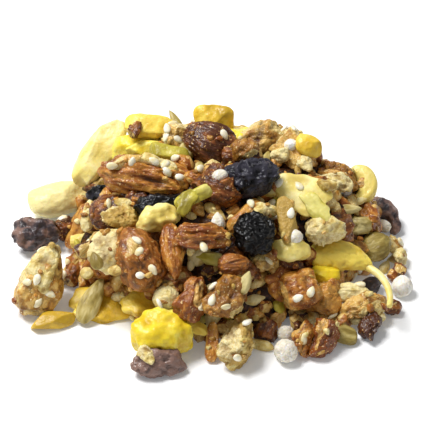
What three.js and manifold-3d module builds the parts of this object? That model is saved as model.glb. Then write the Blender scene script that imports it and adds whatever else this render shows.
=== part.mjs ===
// A loose heap of granola: dried fruit, nuts, seeds and puffed grain, stuck together in small
// clusters and tipped out on a flat surface. Millimetres, +Z up, origin under the middle of the heap.

import * as THREE from "three";
import { mergeVertices } from "three/addons/utils/BufferGeometryUtils.js";
import Module from "manifold-3d";

const wasm = await Module();
wasm.setup();

const radians = THREE.MathUtils.degToRad;

// ---- Driving dimensions, mm -------------------------------------------------------------------

const GAP = 0.3; // clear space between two pieces that lie against each other
const FLAT_SINK = 0.3; // what lies on the floor is this much flattened underneath

// The core is the packed middle of the heap, which the pieces that show are stuck to.
const CORE = {
  peak: [0.8, 11.7], // plan position of its top
  high: 27,
  left: 40, // from the peak to the rim, each way
  right: 44,
  front: 40,
  back: 30,
  shoulder: 2.5, // over 2 makes the top broader
  slope: 0.85, // under 1 makes the foot steeper
  rings: 6,
  sectors: 20,
};
const CORE_WOBBLE = [
  { waves: 3, reach: 0.04, phase: 1.0 },
  { waves: 5, reach: 0.03, phase: 2.2 },
];
const CRUMB_RELIEF = { high: 0.7, turn: 7.3 }; // crumbs stand so much out of the core, unevenly

// Pieces are placed as someone sees them who looks down at the heap from the front: so far to the
// right of the middle and so far up, in mm on a plane through the heap, square to the sight line.
const SIGHT = {
  down: radians(40),
  distance: 450,
  centre: new THREE.Vector3(0.8, -3.3, 20.5),
  search: 90, // how far before and behind the centre a sight line is followed
  step: 0.25,
};
const LAY = 20; // degrees that most pieces are turned up from the viewer
const FLOOR_BOX = { side: 400, high: 200 };

// A piece is a ball drawn out to shape: of 128 sides where it is bent more than this, jagged or
// grooved, and otherwise of 72. Pieces stuck to the core and short ones have 32, and seeds 20.
const STRONG_CURL = 60; // degrees
const SHORT_PIECE = 9;
const SAME_POINT = 1e-4; // points closer than this are one

// The lumps of a piece: two patterns of waves that cross each other. Every piece has the next
// phase, so no two have the same lumps.
const KNOB_WAVES = [
  { share: 0.6, along: [2.6, 1.9, 0], across: [0, -1.3, 2.8], phases: [1, 2] },
  { share: 0.4, along: [0, 5.3, -4.1], across: [4.7, 0, 0], phases: [3, 1] },
];
const NEXT_PHASE = 1.7;
const POINT_THINS = 0.6; // a pointed end gets thinner this much as fast as it gets narrower
const FLAKE_TEETH = [3, 5, 8]; // teeth of three widths, so many of each round a flake
const NUT_GROOVES = 7;

// ---- Forms: what every piece of one kind has in common ----------------------------------------
// square: 2 is round, more is boxier. taper: how much the pointed end is narrower.
// knobby: height of the lumps. jag: depth of the teeth of its outline. grooves: along its length.

const FORMS = {
  mango: { square: 3.6, taper: 0.15, knobby: 0.1 },
  fleshy: { square: 2.4, taper: 0, knobby: 0.12 },
  sheet: { square: 2.8, taper: 0.1, knobby: 0.14, jag: 0.1 },
  berry: { square: 2.3, taper: 0.1, knobby: 0.14 },
  raisin: { square: 2.3, taper: 0.25, knobby: 0.24 },
  almond: { square: 2.1, taper: 0.45, knobby: 0.06 },
  block: { square: 2.6, taper: 0.25, knobby: 0.1 },
  nut: { square: 2.4, taper: 0.1, knobby: 0.2 },
  pecan: { square: 2.4, taper: 0.15, knobby: 0.1, grooves: 0.2 },
  caramel: { square: 3.6, taper: 0, knobby: 0.12 },
  kernel: { square: 2.1, taper: 0.6, knobby: 0.03 },
  puff: { square: 2.0, taper: 0, knobby: 0.05 },
  crumb: { square: 2.6, taper: 0.1, knobby: 0.25 },
  sesame: { square: 2.0, taper: 0.5, knobby: 0 },
};

const TINTS = {
  yellow: { color: "#f3dd40", roughness: 0.5 },
  paleYellow: { color: "#f0e48e", roughness: 0.55 },
  gold: { color: "#e2c13c", roughness: 0.4 },
  green: { color: "#d2c864", roughness: 0.5 },
  black: { color: "#1d181c", roughness: 0.4 },
  brown: { color: "#7c4818", roughness: 0.5 },
  honey: { color: "#c18e3a", roughness: 0.35 },
  amber: { color: "#b4762a", roughness: 0.3 },
  cream: { color: "#d6c382", roughness: 0.6 },
  greyGreen: { color: "#b8ad74", roughness: 0.6 },
  white: { color: "#f5f2ea", roughness: 0.7 },
  purple: { color: "#3a2a2e", roughness: 0.55 },
  crumbs: { color: "#5a3414", roughness: 0.6 },
};

// ---- The pieces -------------------------------------------------------------------------------
// node, form, tint, [right, up], [long, wide, thick], turns. Pieces that share a node are stuck
// together. spin: anticlockwise as seen. lay: face turned up from the viewer, about 50 is flat.
// near: its middle is so far in front of the core. floor: it rests on the floor.
// curl: bent in its own plane, by so many degrees.

const HEAP = "granola_heap";
const HEAP_FINISH = { tint: "crumbs" };
const pieces = [];

function piece(node, form, tint, seen, size, turns = {}) {
  pieces.push({ node, form, tint, seen, size, ...turns, phase: NEXT_PHASE * pieces.length });
}

function placeFruit() {
  piece("mango_lump", "fleshy", "yellow", [-14.2, -32.4], [16, 11.4, 11], { spin: -4, near: 9 });
  piece("dried_berry_middle", "berry", "black", [10.8, -5.2], [10.4, 10.4, 9.4], { spin: 70, near: 7 });
  piece("dried_berry_top", "berry", "black", [9.8, 9.8], [15.4, 9.8, 9.5], { spin: 12, near: 7 });
  piece("raisin_left", "raisin", "purple", [-47.8, -5.2], [13, 9, 8], { spin: 8, floor: true });
  piece("golden_fruit", "kernel", "gold", [34.2, -12.4], [18.4, 9.8, 7.6], { spin: -8, curl: 50, near: 7 });
  piece("mango_block", "mango", "paleYellow", [-42.2, 3.6], [16, 9, 9], { spin: 14, floor: true });
  piece("mango_strip", "mango", "paleYellow", [-31, 16.8], [20, 9.6, 5], { spin: 63, lay: 10, near: -1 });
  piece("mango_bright", "mango", "yellow", [-21, 17.6], [13.4, 7.4, 6], { spin: 8, near: 5 });
  piece("mango_gold_back", "mango", "gold", [-17.6, 23.4], [12.4, 7, 5], { spin: -4, near: 2 });
  piece("mango_yellow_back", "mango", "gold", [0, 25.4], [10.4, 8.4, 6], { spin: 4, near: 2 });
  piece("mango_green_back", "mango", "green", [-12, 16], [10.6, 5, 5], { spin: -10, near: 5 });
  piece("mango_right", "mango", "yellow", [30, -16.5], [7.2, 5.6, 5], { spin: 8, near: 7 });
  piece("fruit_flake", "sheet", "paleYellow", [23.8, 5.8], [15.4, 11, 2.4], { spin: -18, near: 7 });
  piece("fruit_strip_green", "mango", "green", [-4.3, 5], [12, 4.2, 3.4], { spin: 28, near: 6 });
  piece("fruit_strip_tan", "mango", "cream", [19.4, -2], [12.6, 4.6, 4], { spin: -80, curl: 30, near: 8 });
  piece("fruit_chunk_pale", "mango", "paleYellow", [20.5, -9.8], [10.4, 6, 6], { spin: 8, near: 7 });
  piece("fruit_chunk_green", "fleshy", "paleYellow", [-15.2, -1.4], [10.8, 7, 6], { spin: 14, near: 6 });
  piece("raisin_under_pecan", "raisin", "black", [-29.2, 5], [9.4, 6, 6], { spin: 10, near: 5 });
  piece("raisin_middle", "raisin", "black", [-14.4, 2.5], [13.6, 6, 6], { spin: 5, near: 4 });
  piece("raisin_right", "raisin", "purple", [46.6, -0.6], [12, 5, 5], { spin: -58, curl: 70, floor: true });
  piece("fruit_purple", "nut", "purple", [-15.2, -39.8], [14.4, 7.4, 6], { spin: 3, lay: 35, floor: true });
  piece("mango_sheet_left", "sheet", "gold", [-29, -24], [20, 12, 2.6], { spin: 8, lay: 42, floor: true });
  piece("mango_sheet_middle", "sheet", "gold", [-19.8, -24.4], [9.5, 8.5, 2.4], { lay: 40, near: 4 });
  piece("mango_slab_left", "mango", "gold", [-43.6, -28.8], [10.8, 5.4, 4],
    { spin: 12, lay: 35, floor: true });
  piece("fruit_strip_gold", "mango", "gold", [-6.8, -29.4], [11.2, 3.8, 3], { spin: -30, near: 5 });
  piece("curled_peel", "mango", "paleYellow", [39.4, 7.4], [14, 4.8, 4.6],
    { spin: -100, curl: 220, near: 4 });
  piece("fruit_bit_front", "mango", "greyGreen", [35.4, -32.7], [6, 4.6, 3.4], { spin: -12, floor: true });
}

function placeNuts() {
  piece("pecan", "pecan", "amber", [-18.4, 10.2], [24, 10.6, 9], { spin: -9, near: 7 });
  piece("almond_top", "almond", "brown", [-1.4, 19.4], [15.2, 14, 10], { spin: 150, near: 9 });
  piece("almond_top", "nut", "honey", [-9.6, 21.6], [9, 7, 7], { spin: 40, near: 9 });
  piece("almond_left", "almond", "brown", [-27.4, 0.6], [12.6, 11, 9], { spin: 20, near: 6 });
  piece("almond_left", "nut", "cream", [-25.1, -1.1], [10, 6.8, 6], { spin: 8, near: 8 });
  piece("almond_cluster_front", "block", "brown", [-20.6, -12.4], [16, 14, 11], { spin: 130, near: 9 });
  piece("almond_cluster_front", "block", "cream", [-27.6, -9.8], [13.6, 10.4, 9], { spin: 28, near: 10 });
  piece("almond_wedge", "almond", "amber", [-11.2, -10.2], [15.4, 6.4, 6], { spin: -84, near: 7 });
  piece("nut_cluster_left", "block", "honey", [-46.8, -18.2], [18.6, 12.4, 10],
    { spin: 80, lay: 10, floor: true });
  piece("nut_cluster_left", "block", "cream", [-46, -15], [14, 8.4, 7], { spin: 72, lay: 10, near: 17 });
  piece("walnut_red", "pecan", "amber", [-3.8, -6.2], [14.6, 7, 7], { spin: 3, near: 7 });
  piece("caramel_cluster", "caramel", "amber", [22.8, -21], [10, 9.6, 8], { spin: 20, near: 8 });
  piece("caramel_cluster", "caramel", "amber", [29.8, -22.4], [8.6, 9.4, 8], { spin: -12, near: 9 });
  piece("nut_honey_front", "nut", "honey", [3.5, -23], [12.6, 9.8, 9], { spin: 62, near: 8 });
  piece("nut_rough_front", "nut", "amber", [-5.7, -23], [11.8, 7.4, 7], { spin: 66, near: 7 });
  piece("nut_cream_front", "nut", "cream", [6.2, -34.8], [13.6, 10.4, 9], { spin: 70, floor: true });
  piece("walnut_right", "nut", "honey", [40.4, -25.4], [15, 6.2, 6], { spin: 20, near: 7 });
  piece("walnut_pale", "block", "cream", [30.1, -4.4], [10.2, 7.4, 7], { spin: 5, near: 9 });
  piece("nut_green_right", "puff", "greyGreen", [43.6, -8.8], [9, 8.4, 6.6], { spin: 30, near: 7 });
  piece("nut_cluster_back", "nut", "honey", [13, 20.4], [14.5, 10, 9], { spin: 35, near: 7 });
  piece("nut_cluster_back_right", "nut", "honey", [21.4, 17.6], [14.4, 11, 9], { spin: -30, near: 7 });
  piece("nut_red_left", "nut", "brown", [-39.2, -3.6], [8, 7.2, 7], { spin: 40, near: 6 });
  piece("nut_amber_front", "nut", "amber", [24, -33.6], [9.6, 6, 6], { spin: 80, floor: true });
  piece("nut_curl_front", "nut", "amber", [29.8, -33.2], [10.8, 6.8, 6], { spin: 78, floor: true });
  piece("nut_brown_middle", "almond", "brown", [5.4, -13.8], [8.4, 6.6, 6], { spin: 10, near: 6 });
  piece("nut_cone_right", "nut", "brown", [42.4, -30.2], [7.8, 5.4, 5], { spin: 75, floor: true });
  piece("nut_bit_right", "nut", "brown", [48, -25.6], [5.6, 3.8, 3.6], { spin: 10, floor: true });
  piece("nut_tan_right", "nut", "cream", [50, -11.8], [5.4, 4.8, 4.4], { spin: 30, floor: true });
}

function placeSeeds() {
  piece("pumpkin_seed_left", "kernel", "greyGreen", [-33, -23.2], [14.2, 6.6, 3.6], { spin: 66, near: 7 });
  piece("kernel_right", "almond", "cream", [37, -21.2], [9.8, 5.8, 4.4], { spin: 2, near: 10 });
  piece("nut_ball_cream", "puff", "cream", [-13, -22.8], [7, 6.6, 6.4], { near: 7 });
  piece("puff_ball_front", "puff", "white", [19.5, -37], [6.4, 6.4, 6.2], { floor: true });
  piece("puff_ball_right", "puff", "white", [50.8, -19.6], [5.8, 5.8, 5.6], { floor: true });
}

// Smaller bits, stuck to whatever shows at their place as seen.
const bits = [];

function bit(form, tint, seen, size, turns = {}) {
  bits.push({ form, tint, seen, size, ...turns, small: true, phase: NEXT_PHASE * bits.length });
}

function placeSmallFruit() {
  bit("mango", "paleYellow", [-35.9, -6.6], [7.4, 4, 2.4], { spin: 20 });
  bit("mango", "cream", [-34, -0.4], [8, 4, 3], { spin: 75 });
  bit("nut", "cream", [32.4, 8.4], [10, 7, 5], { spin: -10 });
  bit("nut", "cream", [-18.1, -38.2], [5, 4, 3.6], { spin: -50 });
  bit("sheet", "green", [27.8, 1.4], [10, 5, 2.4], { spin: -48 });
  bit("mango", "honey", [25.6, 18.2], [7, 5.6, 4.6], { spin: -20 });
  bit("mango", "green", [-0.8, -11.9], [8.6, 3.8, 3], { spin: -8 });
  bit("mango", "green", [18, -23.8], [6.4, 3, 2.4], { spin: 85, curl: 80 });
  bit("mango", "amber", [-0.3, -34.6], [9.8, 3.6, 3.2], { spin: 88 });
  bit("raisin", "purple", [42.6, -19.2], [6.2, 4.4, 4], { spin: 25 });
}

function placeSmallNuts() {
  bit("nut", "honey", [8.4, 17.2], [7.4, 5.6, 5], { spin: 30 });
  bit("nut", "cream", [30.2, 7.6], [5, 4.2, 4]);
  bit("nut", "amber", [32.7, 10.8], [8.2, 2.2, 2], { spin: -8 });
  bit("nut", "greyGreen", [39.3, -3.2], [6.2, 5.8, 5]);
  bit("nut", "cream", [13.8, 1], [6, 4.2, 4], { spin: 10 });
  bit("nut", "amber", [-4.6, 1.2], [5.4, 5, 4.6], { spin: 40 });
  bit("nut", "amber", [13, -13.2], [7.8, 5, 4.8], { spin: -6 });
  bit("nut", "brown", [-38.8, -16.8], [6.2, 5.6, 5], { spin: 70 });
  bit("nut", "brown", [14, -31.6], [6.8, 5.8, 5.4], { spin: 60 });
  bit("crumb", "cream", [38.6, -28.6], [5, 2.8, 2.6]);
}

function placeSmallSeeds() {
  bit("kernel", "greyGreen", [-10.2, 27], [6.8, 3, 2.2], { spin: 128 });
  bit("puff", "white", [1.6, 10.4], [4.4, 3.2, 3], { spin: 10 });
  bit("puff", "white", [33.5, 7.2], [4.2, 3, 2.8], { spin: -30 });
  bit("kernel", "greyGreen", [35.9, 4.2], [8.4, 3.6, 2.8], { spin: 175 });
  bit("kernel", "greyGreen", [36.4, 1.2], [7.4, 3.4, 2.8], { spin: 5 });
  bit("puff", "white", [45.8, -3.2], [4.6, 3.6, 3.2], { spin: -20 });
  bit("puff", "white", [21.9, -6.2], [4.2, 4, 3.8]);
  bit("kernel", "cream", [0.4, 0.6], [7.2, 3.6, 2.6], { spin: -40 });
  bit("kernel", "white", [1.1, -2.2], [5.4, 4.4, 4], { spin: 95 });
  bit("kernel", "cream", [-35.6, -11.6], [5.2, 3.8, 2.6], { spin: 60 });
  bit("kernel", "greyGreen", [-31.9, -12.6], [5.2, 3.8, 2.6], { spin: 110 });
  bit("kernel", "cream", [-33.8, -15.6], [5.2, 3.8, 2.6], { spin: 30 });
  bit("kernel", "greyGreen", [8.4, -18.6], [6.8, 3.8, 3], { spin: 70 });
  bit("kernel", "cream", [11, -23.2], [5.8, 3.4, 2.8], { spin: 15 });
  bit("puff", "white", [19.4, -32.4], [4.4, 4.4, 4.2]);
}

placeFruit();
placeNuts();
placeSeeds();
placeSmallFruit();
placeSmallNuts();
placeSmallSeeds();

// The golden fruit ends in a stalk, which leaves it at the first of these places and droops.
const STALK = {
  node: "golden_fruit",
  thick: 2,
  droop: 2.2, // each place is so much nearer to the viewer than the one before
  seen: [[41, -14], [44.6, -16.4], [46.8, -19.4], [47.6, -22.6], [47.4, -25]],
  steps: 7,
  sides: 3,
};

// Sesame seeds lie flat on whatever shows at these places.
const SESAME = { form: "sesame", tint: "cream", size: [3.3, 2.4, 1.3] };
const SESAME_SPIN = 77;
const SESAME_SEEN = [
  [-27.5, 13], [-22.1, 14], [-16.2, 14.3], [-13.2, 13.5], [-12.7, 11.3], [-9.2, 10],
  [-12.7, 23.2], [-11.1, 24.3], [-13, 20.8], [-9.8, 20.3],
  [17.6, 8.4], [23, 7.6], [15.3, 2.8], [10, 2.8], [16.7, -0.8], [20.8, 0.3],
  [-20.8, -7], [-20.3, -10.3], [-16.5, -15.1], [-19.7, -16.5],
  [-51.6, -14.9], [-50.6, -18.4], [-47.9, -17.8], [-44.3, -21.6], [-47.6, -24], [-40.8, -16.2],
  [-41, -1.2], [-28.4, 2.7], [-0.3, -19.4], [-0.5, -23.2], [3.2, -25.1], [-3.4, -25.1],
  [14.9, -12.4], [22.7, -22.7], [24.3, -33.8], [39.4, -19],
];

// The rest of the core is covered by pieces that follow a rule: evenly spread round the peak, in
// turn one of these kinds, and left out where another piece already lies.
const FILL = {
  count: 44,
  spread: 0.42, // under 0.5 puts more of them on the steep foot
  turn: radians(137.5),
  spin: 77,
  vary: 0.12, // share that their sizes differ by
  sunk: 0.2, // share of their thickness that their middle lies above the core
  close: 7, // two are too close when their long and wide sides together are so many distances
};
const FILL_KINDS = [
  { form: "nut", tint: "honey", size: [12.5, 9.2, 8] },
  { form: "kernel", tint: "greyGreen", size: [11, 6.4, 4.6] },
  { form: "nut", tint: "brown", size: [11.6, 9.6, 8.4] },
  { form: "mango", tint: "yellow", size: [12.6, 8.8, 6.4] },
  { form: "nut", tint: "cream", size: [10.6, 8.4, 7.4] },
  { form: "raisin", tint: "black", size: [11.4, 8.8, 7.6] },
  { form: "nut", tint: "amber", size: [10.6, 8.4, 7.4] },
];

// ---- Geometry ---------------------------------------------------------------------------------

// The three directions of the view that places are given in.
const RIGHT = new THREE.Vector3(1, 0, 0);
const UP = new THREE.Vector3(0, Math.sin(SIGHT.down), Math.cos(SIGHT.down));
const TOWARD = new THREE.Vector3(0, -Math.cos(SIGHT.down), Math.sin(SIGHT.down));

// Distance from the core's peak to its rim, in the plan direction of an angle.
function rimReach(angle) {
  const across = Math.cos(angle) / (Math.cos(angle) > 0 ? CORE.right : CORE.left);
  const deep = Math.sin(angle) / (Math.sin(angle) > 0 ? CORE.back : CORE.front);
  let wobble = 1;
  for (const wave of CORE_WOBBLE) {
    wobble += wave.reach * Math.sin(wave.waves * angle + wave.phase);
  }
  return wobble / Math.hypot(across, deep);
}

// Height of the core at a share of the way from its peak to its rim.
function domeHeight(share) {
  if (share >= 1) return 0;
  return CORE.high * (1 - share ** CORE.shoulder) ** CORE.slope;
}

function coreHeight(x, y) {
  const dx = x - CORE.peak[0];
  const dy = y - CORE.peak[1];
  return domeHeight(Math.hypot(dx, dy) / rimReach(Math.atan2(dy, dx)));
}

// The direction that the core faces at a place.
function coreFaces(x, y) {
  const step = 1;
  const slopeX = (coreHeight(x + step, y) - coreHeight(x - step, y)) / (2 * step);
  const slopeY = (coreHeight(x, y + step) - coreHeight(x, y - step)) / (2 * step);
  return new THREE.Vector3(-slopeX, -slopeY, 1).normalize();
}

// Smooth lumps, -1 to 1, over the directions of a sphere.
function knobs(direction, phase) {
  let height = 0;
  for (const { share, along, across, phases } of KNOB_WAVES) {
    const wave = Math.sin(direction.dot(new THREE.Vector3(...along)) + phases[0] * phase);
    const crossing = Math.cos(direction.dot(new THREE.Vector3(...across)) + phases[1] * phase);
    height += share * wave * crossing;
  }
  return height;
}

// Bends a point of a piece so long round an arc in its own plane, and keeps the piece centred.
function bend(point, long, curl) {
  const radius = long / curl;
  const angle = point.x / radius;
  const out = radius + point.y;
  const sag = radius * (1 - Math.cos(curl / 2));
  point.x = out * Math.sin(angle);
  point.y = out * Math.cos(angle) - radius + sag / 2;
}

// How far the toothed edge of a flake stands out, -1.5 to 1.5, at an angle round it.
function flakeTeeth(around, phase) {
  return FLAKE_TEETH.reduce((sum, count) => sum + Math.sin(count * (around + phase)), 0) / 2;
}

// Carries a direction of the unit sphere to the surface of a piece, about its own middle.
function surfacePoint(direction, item) {
  const form = FORMS[item.form];
  const [long, wide, thick] = item.size;
  const { x, y, z } = direction;
  const power = form.square;
  const reach = (Math.abs(x) ** power + Math.abs(y) ** power + Math.abs(z) ** power) ** (-1 / power);
  const point = direction.clone().multiplyScalar(reach * (1 + form.knobby * knobs(direction, item.phase)));
  const pointed = Math.max(0, (point.x + 1) / 2) ** 2;
  point.y *= 1 - form.taper * pointed;
  point.z *= 1 - POINT_THINS * form.taper * pointed;
  if (form.jag) {
    const teeth = flakeTeeth(Math.atan2(y, x), item.phase);
    point.x *= 1 + form.jag * teeth;
    point.y *= 1 + form.jag * teeth;
  }
  if (form.grooves) point.z *= 1 - form.grooves * Math.abs(Math.cos(NUT_GROOVES * point.y));
  point.multiply(new THREE.Vector3(long / 2, wide / 2, thick / 2));
  if (item.curl) bend(point, long, radians(item.curl));
  return point;
}

// Turns a piece that lies on a surface that faces one way: its length spins in that surface.
function turnOnto(faces, spin) {
  const side = RIGHT.clone().addScaledVector(faces, -RIGHT.dot(faces)).normalize();
  const surface = new THREE.Matrix4().makeBasis(side, faces.clone().cross(side), faces);
  return surface.multiply(new THREE.Matrix4().makeRotationZ(radians(spin)));
}

// Turns a piece as it is seen.
function turnSeen(item) {
  const view = new THREE.Matrix4().makeBasis(RIGHT, UP, TOWARD);
  const lay = new THREE.Matrix4().makeRotationX(-radians(item.lay ?? LAY));
  const spin = new THREE.Matrix4().makeRotationZ(radians(item.spin ?? 0));
  return view.multiply(lay).multiply(spin);
}

// The sight line through a place as seen.
function sightLine(seen) {
  const eye = SIGHT.centre.clone().addScaledVector(TOWARD, SIGHT.distance);
  const aim = SIGHT.centre.clone().addScaledVector(RIGHT, seen[0]).addScaledVector(UP, seen[1]);
  return new THREE.Ray(eye, aim.sub(eye).normalize());
}

// Where a sight line meets the core or the floor, or else passes closest above the core.
function sightMeets(line) {
  const point = new THREE.Vector3();
  const closest = new THREE.Vector3();
  let least = Infinity;
  const steps = (2 * SIGHT.search) / SIGHT.step;
  for (let i = 0; i < steps; i += 1) {
    line.at(SIGHT.distance - SIGHT.search + i * SIGHT.step, point);
    const core = coreHeight(point.x, point.y);
    const clear = point.z - core;
    if (core > 0 && clear < least) {
      least = clear;
      closest.copy(point);
    }
    if (clear <= 0) return core > 0 || least === Infinity ? point : closest;
  }
  return closest;
}

function withoutExtras(geometry) {
  geometry.deleteAttribute("normal");
  geometry.deleteAttribute("uv");
  return mergeVertices(geometry, SAME_POINT);
}

// Swells a closed geometry by a distance all round.
function swell(geometry, distance) {
  const swollen = geometry.clone();
  swollen.computeVertexNormals();
  const points = swollen.attributes.position;
  const normals = swollen.attributes.normal;
  for (let i = 0; i < points.count; i += 1) {
    const normal = new THREE.Vector3().fromBufferAttribute(normals, i);
    const point = new THREE.Vector3().fromBufferAttribute(points, i).addScaledVector(normal, distance);
    points.setXYZ(i, point.x, point.y, point.z);
  }
  swollen.deleteAttribute("normal");
  return swollen;
}

// The ball that a piece is drawn out from.
function ballFor(item) {
  const { jag, grooves } = FORMS[item.form];
  if (item.form === "sesame" || item.form === "crumb") return new THREE.IcosahedronGeometry(1, 0);
  if (item.small || item.size[0] < SHORT_PIECE) return new THREE.OctahedronGeometry(1, 1);
  return new THREE.OctahedronGeometry(1, item.curl > STRONG_CURL || jag || grooves ? 3 : 2);
}

// A piece about its own middle.
function pieceGeometry(item) {
  const ball = withoutExtras(ballFor(item));
  const points = ball.attributes.position;
  for (let i = 0; i < points.count; i += 1) {
    const direction = new THREE.Vector3().fromBufferAttribute(points, i).normalize();
    const point = surfacePoint(direction, item);
    points.setXYZ(i, point.x, point.y, point.z);
  }
  return ball;
}

// Puts a piece on its sight line, against the core or down on the floor.
function placedGeometry(item) {
  const geometry = pieceGeometry(item).applyMatrix4(turnSeen(item));
  const line = sightLine(item.seen);
  const place = sightMeets(line).clone();
  if (item.floor) {
    geometry.computeBoundingBox();
    const lowest = geometry.boundingBox.min.z + place.z;
    place.addScaledVector(line.direction, (lowest + FLAT_SINK) / -line.direction.z);
  } else {
    place.addScaledVector(line.direction, -item.near);
  }
  item.place = place;
  return geometry.translate(place.x, place.y, place.z);
}

// A round stalk along a curve.
function stalkGeometry() {
  const { origin } = sightLine([0, 0]);
  const fruit = pieces.find((item) => item.node === STALK.node);
  const distance = origin.distanceTo(fruit.place);
  const points = STALK.seen.map((seen, i) => {
    return sightLine(seen).at(distance - i * STALK.droop, new THREE.Vector3());
  });
  const section = new THREE.Shape().absarc(0, 0, STALK.thick / 2, 0, 2 * Math.PI);
  const path = new THREE.CatmullRomCurve3(points);
  const options = { steps: STALK.steps, curveSegments: STALK.sides, extrudePath: path };
  return withoutExtras(new THREE.ExtrudeGeometry(section, options));
}

// Where a sight line first meets one of these meshes, or undefined.
function meets(meshes, seen) {
  const line = sightLine(seen);
  return new THREE.Raycaster(line.origin, line.direction).intersectObjects(meshes, false)[0];
}

// Whether a piece of a size would cross one of the named pieces.
function crosses(place, size) {
  return pieces.some((other) => {
    const room = (other.size[0] + other.size[1] + size[0] + size[1]) / FILL.close;
    return other.place.distanceTo(place) < room;
  });
}

// A piece of the rule that covers the core, or null where there is no room.
function fillGeometry(number) {
  const share = ((number + 0.5) / FILL.count) ** FILL.spread;
  const angle = FILL.turn * number;
  const reach = share * rimReach(angle);
  const x = CORE.peak[0] + reach * Math.cos(angle);
  const y = CORE.peak[1] + reach * Math.sin(angle);
  const place = new THREE.Vector3(x, y, coreHeight(x, y));
  const kind = FILL_KINDS[number % FILL_KINDS.length];
  if (crosses(place, kind.size)) return null;
  const size = kind.size.map((side) => side * (1 + FILL.vary * Math.sin(number)));
  const item = { ...kind, size, small: true, phase: number };
  const faces = coreFaces(x, y);
  place.addScaledVector(faces, FILL.sunk * size[2]);
  const turn = turnOnto(faces, FILL.spin * number);
  return pieceGeometry(item).applyMatrix4(turn).translate(place.x, place.y, place.z);
}

// ---- Solids -----------------------------------------------------------------------------------

function solidOf(geometry) {
  const index = geometry.index.array;
  const kept = [];
  for (let i = 0; i < index.length; i += 3) {
    const [a, b, c] = [index[i], index[i + 1], index[i + 2]];
    if (a !== b && b !== c && c !== a) kept.push(a, b, c);
  }
  const mesh = new wasm.Mesh({
    numProp: 3,
    vertProperties: new Float32Array(geometry.attributes.position.array),
    triVerts: new Uint32Array(kept),
  });
  return new wasm.Manifold(mesh);
}

// The outer shell of the biggest body: loose scraps go and sealed hollows are filled.
function largestBody(solid) {
  const bodies = solid.decompose();
  return bodies.reduce((best, body) => (body.volume() > best.volume() ? body : best));
}

function geometryOf(solid) {
  const mesh = solid.getMesh();
  const geometry = new THREE.BufferGeometry();
  geometry.setAttribute("position", new THREE.BufferAttribute(mesh.vertProperties, 3));
  geometry.setIndex(new THREE.BufferAttribute(mesh.triVerts, 1));
  return geometry;
}

// Everything above the floor.
function aboveFloor() {
  const box = new THREE.BoxGeometry(FLOOR_BOX.side, FLOOR_BOX.side, FLOOR_BOX.high);
  box.translate(0, 0, FLOOR_BOX.high / 2);
  return solidOf(withoutExtras(box));
}

// A dome turned round the peak, drawn out to the rim and given crumbs in relief.
function coreGeometry() {
  const profile = [new THREE.Vector2(0, 0)];
  for (let i = 0; i <= CORE.rings; i += 1) {
    const share = Math.cos((Math.PI / 2) * (i / CORE.rings));
    profile.push(new THREE.Vector2(i === CORE.rings ? 0 : share, i === 0 ? 0 : 1));
  }
  const dome = new THREE.LatheGeometry(profile, CORE.sectors);
  dome.rotateX(Math.PI / 2);
  const geometry = withoutExtras(dome);
  const points = geometry.attributes.position;
  for (let i = 0; i < points.count; i += 1) {
    const share = Math.hypot(points.getX(i), points.getY(i));
    const angle = Math.atan2(points.getY(i), points.getX(i));
    const reach = share * rimReach(angle);
    const top = points.getZ(i) > 0.5;
    const high = top ? domeHeight(share) + CRUMB_RELIEF.high * (1 + Math.sin(CRUMB_RELIEF.turn * i)) : 0;
    const x = CORE.peak[0] + reach * Math.cos(angle);
    const y = CORE.peak[1] + reach * Math.sin(angle);
    points.setXYZ(i, x, y, high);
  }
  return geometry;
}

// ---- The heap ---------------------------------------------------------------------------------

function touches(a, b) {
  const [boxA, boxB] = [a.boundingBox(), b.boundingBox()];
  return [0, 1, 2].every((i) => boxA.min[i] < boxB.max[i] && boxB.min[i] < boxA.max[i]);
}

function meshOf(name, solid, tint) {
  const { color, roughness } = TINTS[tint];
  const material = new THREE.MeshStandardMaterial({ color, roughness, metalness: 0 });
  const geometry = geometryOf(solid);
  geometry.computeBoundingBox();
  const middle = geometry.boundingBox.getCenter(new THREE.Vector3());
  geometry.translate(-middle.x, -middle.y, -middle.z);
  const mesh = new THREE.Mesh(geometry, material);
  mesh.name = name;
  mesh.position.copy(middle);
  return mesh;
}

// A mesh that only says where a shape lies and which node it belongs to.
function shapeMesh(node, geometry) {
  const mesh = new THREE.Mesh(geometry);
  mesh.name = node;
  return mesh;
}

// A small piece stuck where its sight line first meets a shape. It may face as that does.
function stuckOn(shapes, item, facesAlong) {
  const hit = meets(shapes, item.seen);
  if (!hit) return [];
  const turn = facesAlong ? turnOnto(hit.face.normal, item.spin) : turnSeen(item);
  const geometry = pieceGeometry(item).applyMatrix4(turn);
  return [shapeMesh(hit.object.name, geometry.translate(hit.point.x, hit.point.y, hit.point.z))];
}

// Every shape in its place: the named pieces, the core and what covers it, bits and seeds.
function allShapes() {
  const shapes = pieces.map((item) => shapeMesh(item.node, placedGeometry(item)));
  shapes.push(shapeMesh(STALK.node, stalkGeometry()));
  shapes.push(shapeMesh(HEAP, coreGeometry()));
  for (let number = 0; number < FILL.count; number += 1) {
    const filler = fillGeometry(number);
    if (filler) shapes.push(shapeMesh(HEAP, filler));
  }
  shapes.push(...bits.flatMap((item) => stuckOn(shapes, item, false)));
  const seeds = SESAME_SEEN.map((seen, i) => ({ ...SESAME, seen, spin: SESAME_SPIN * i, phase: i }));
  return [...shapes, ...seeds.flatMap((item) => stuckOn(shapes, item, true))];
}

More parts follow.
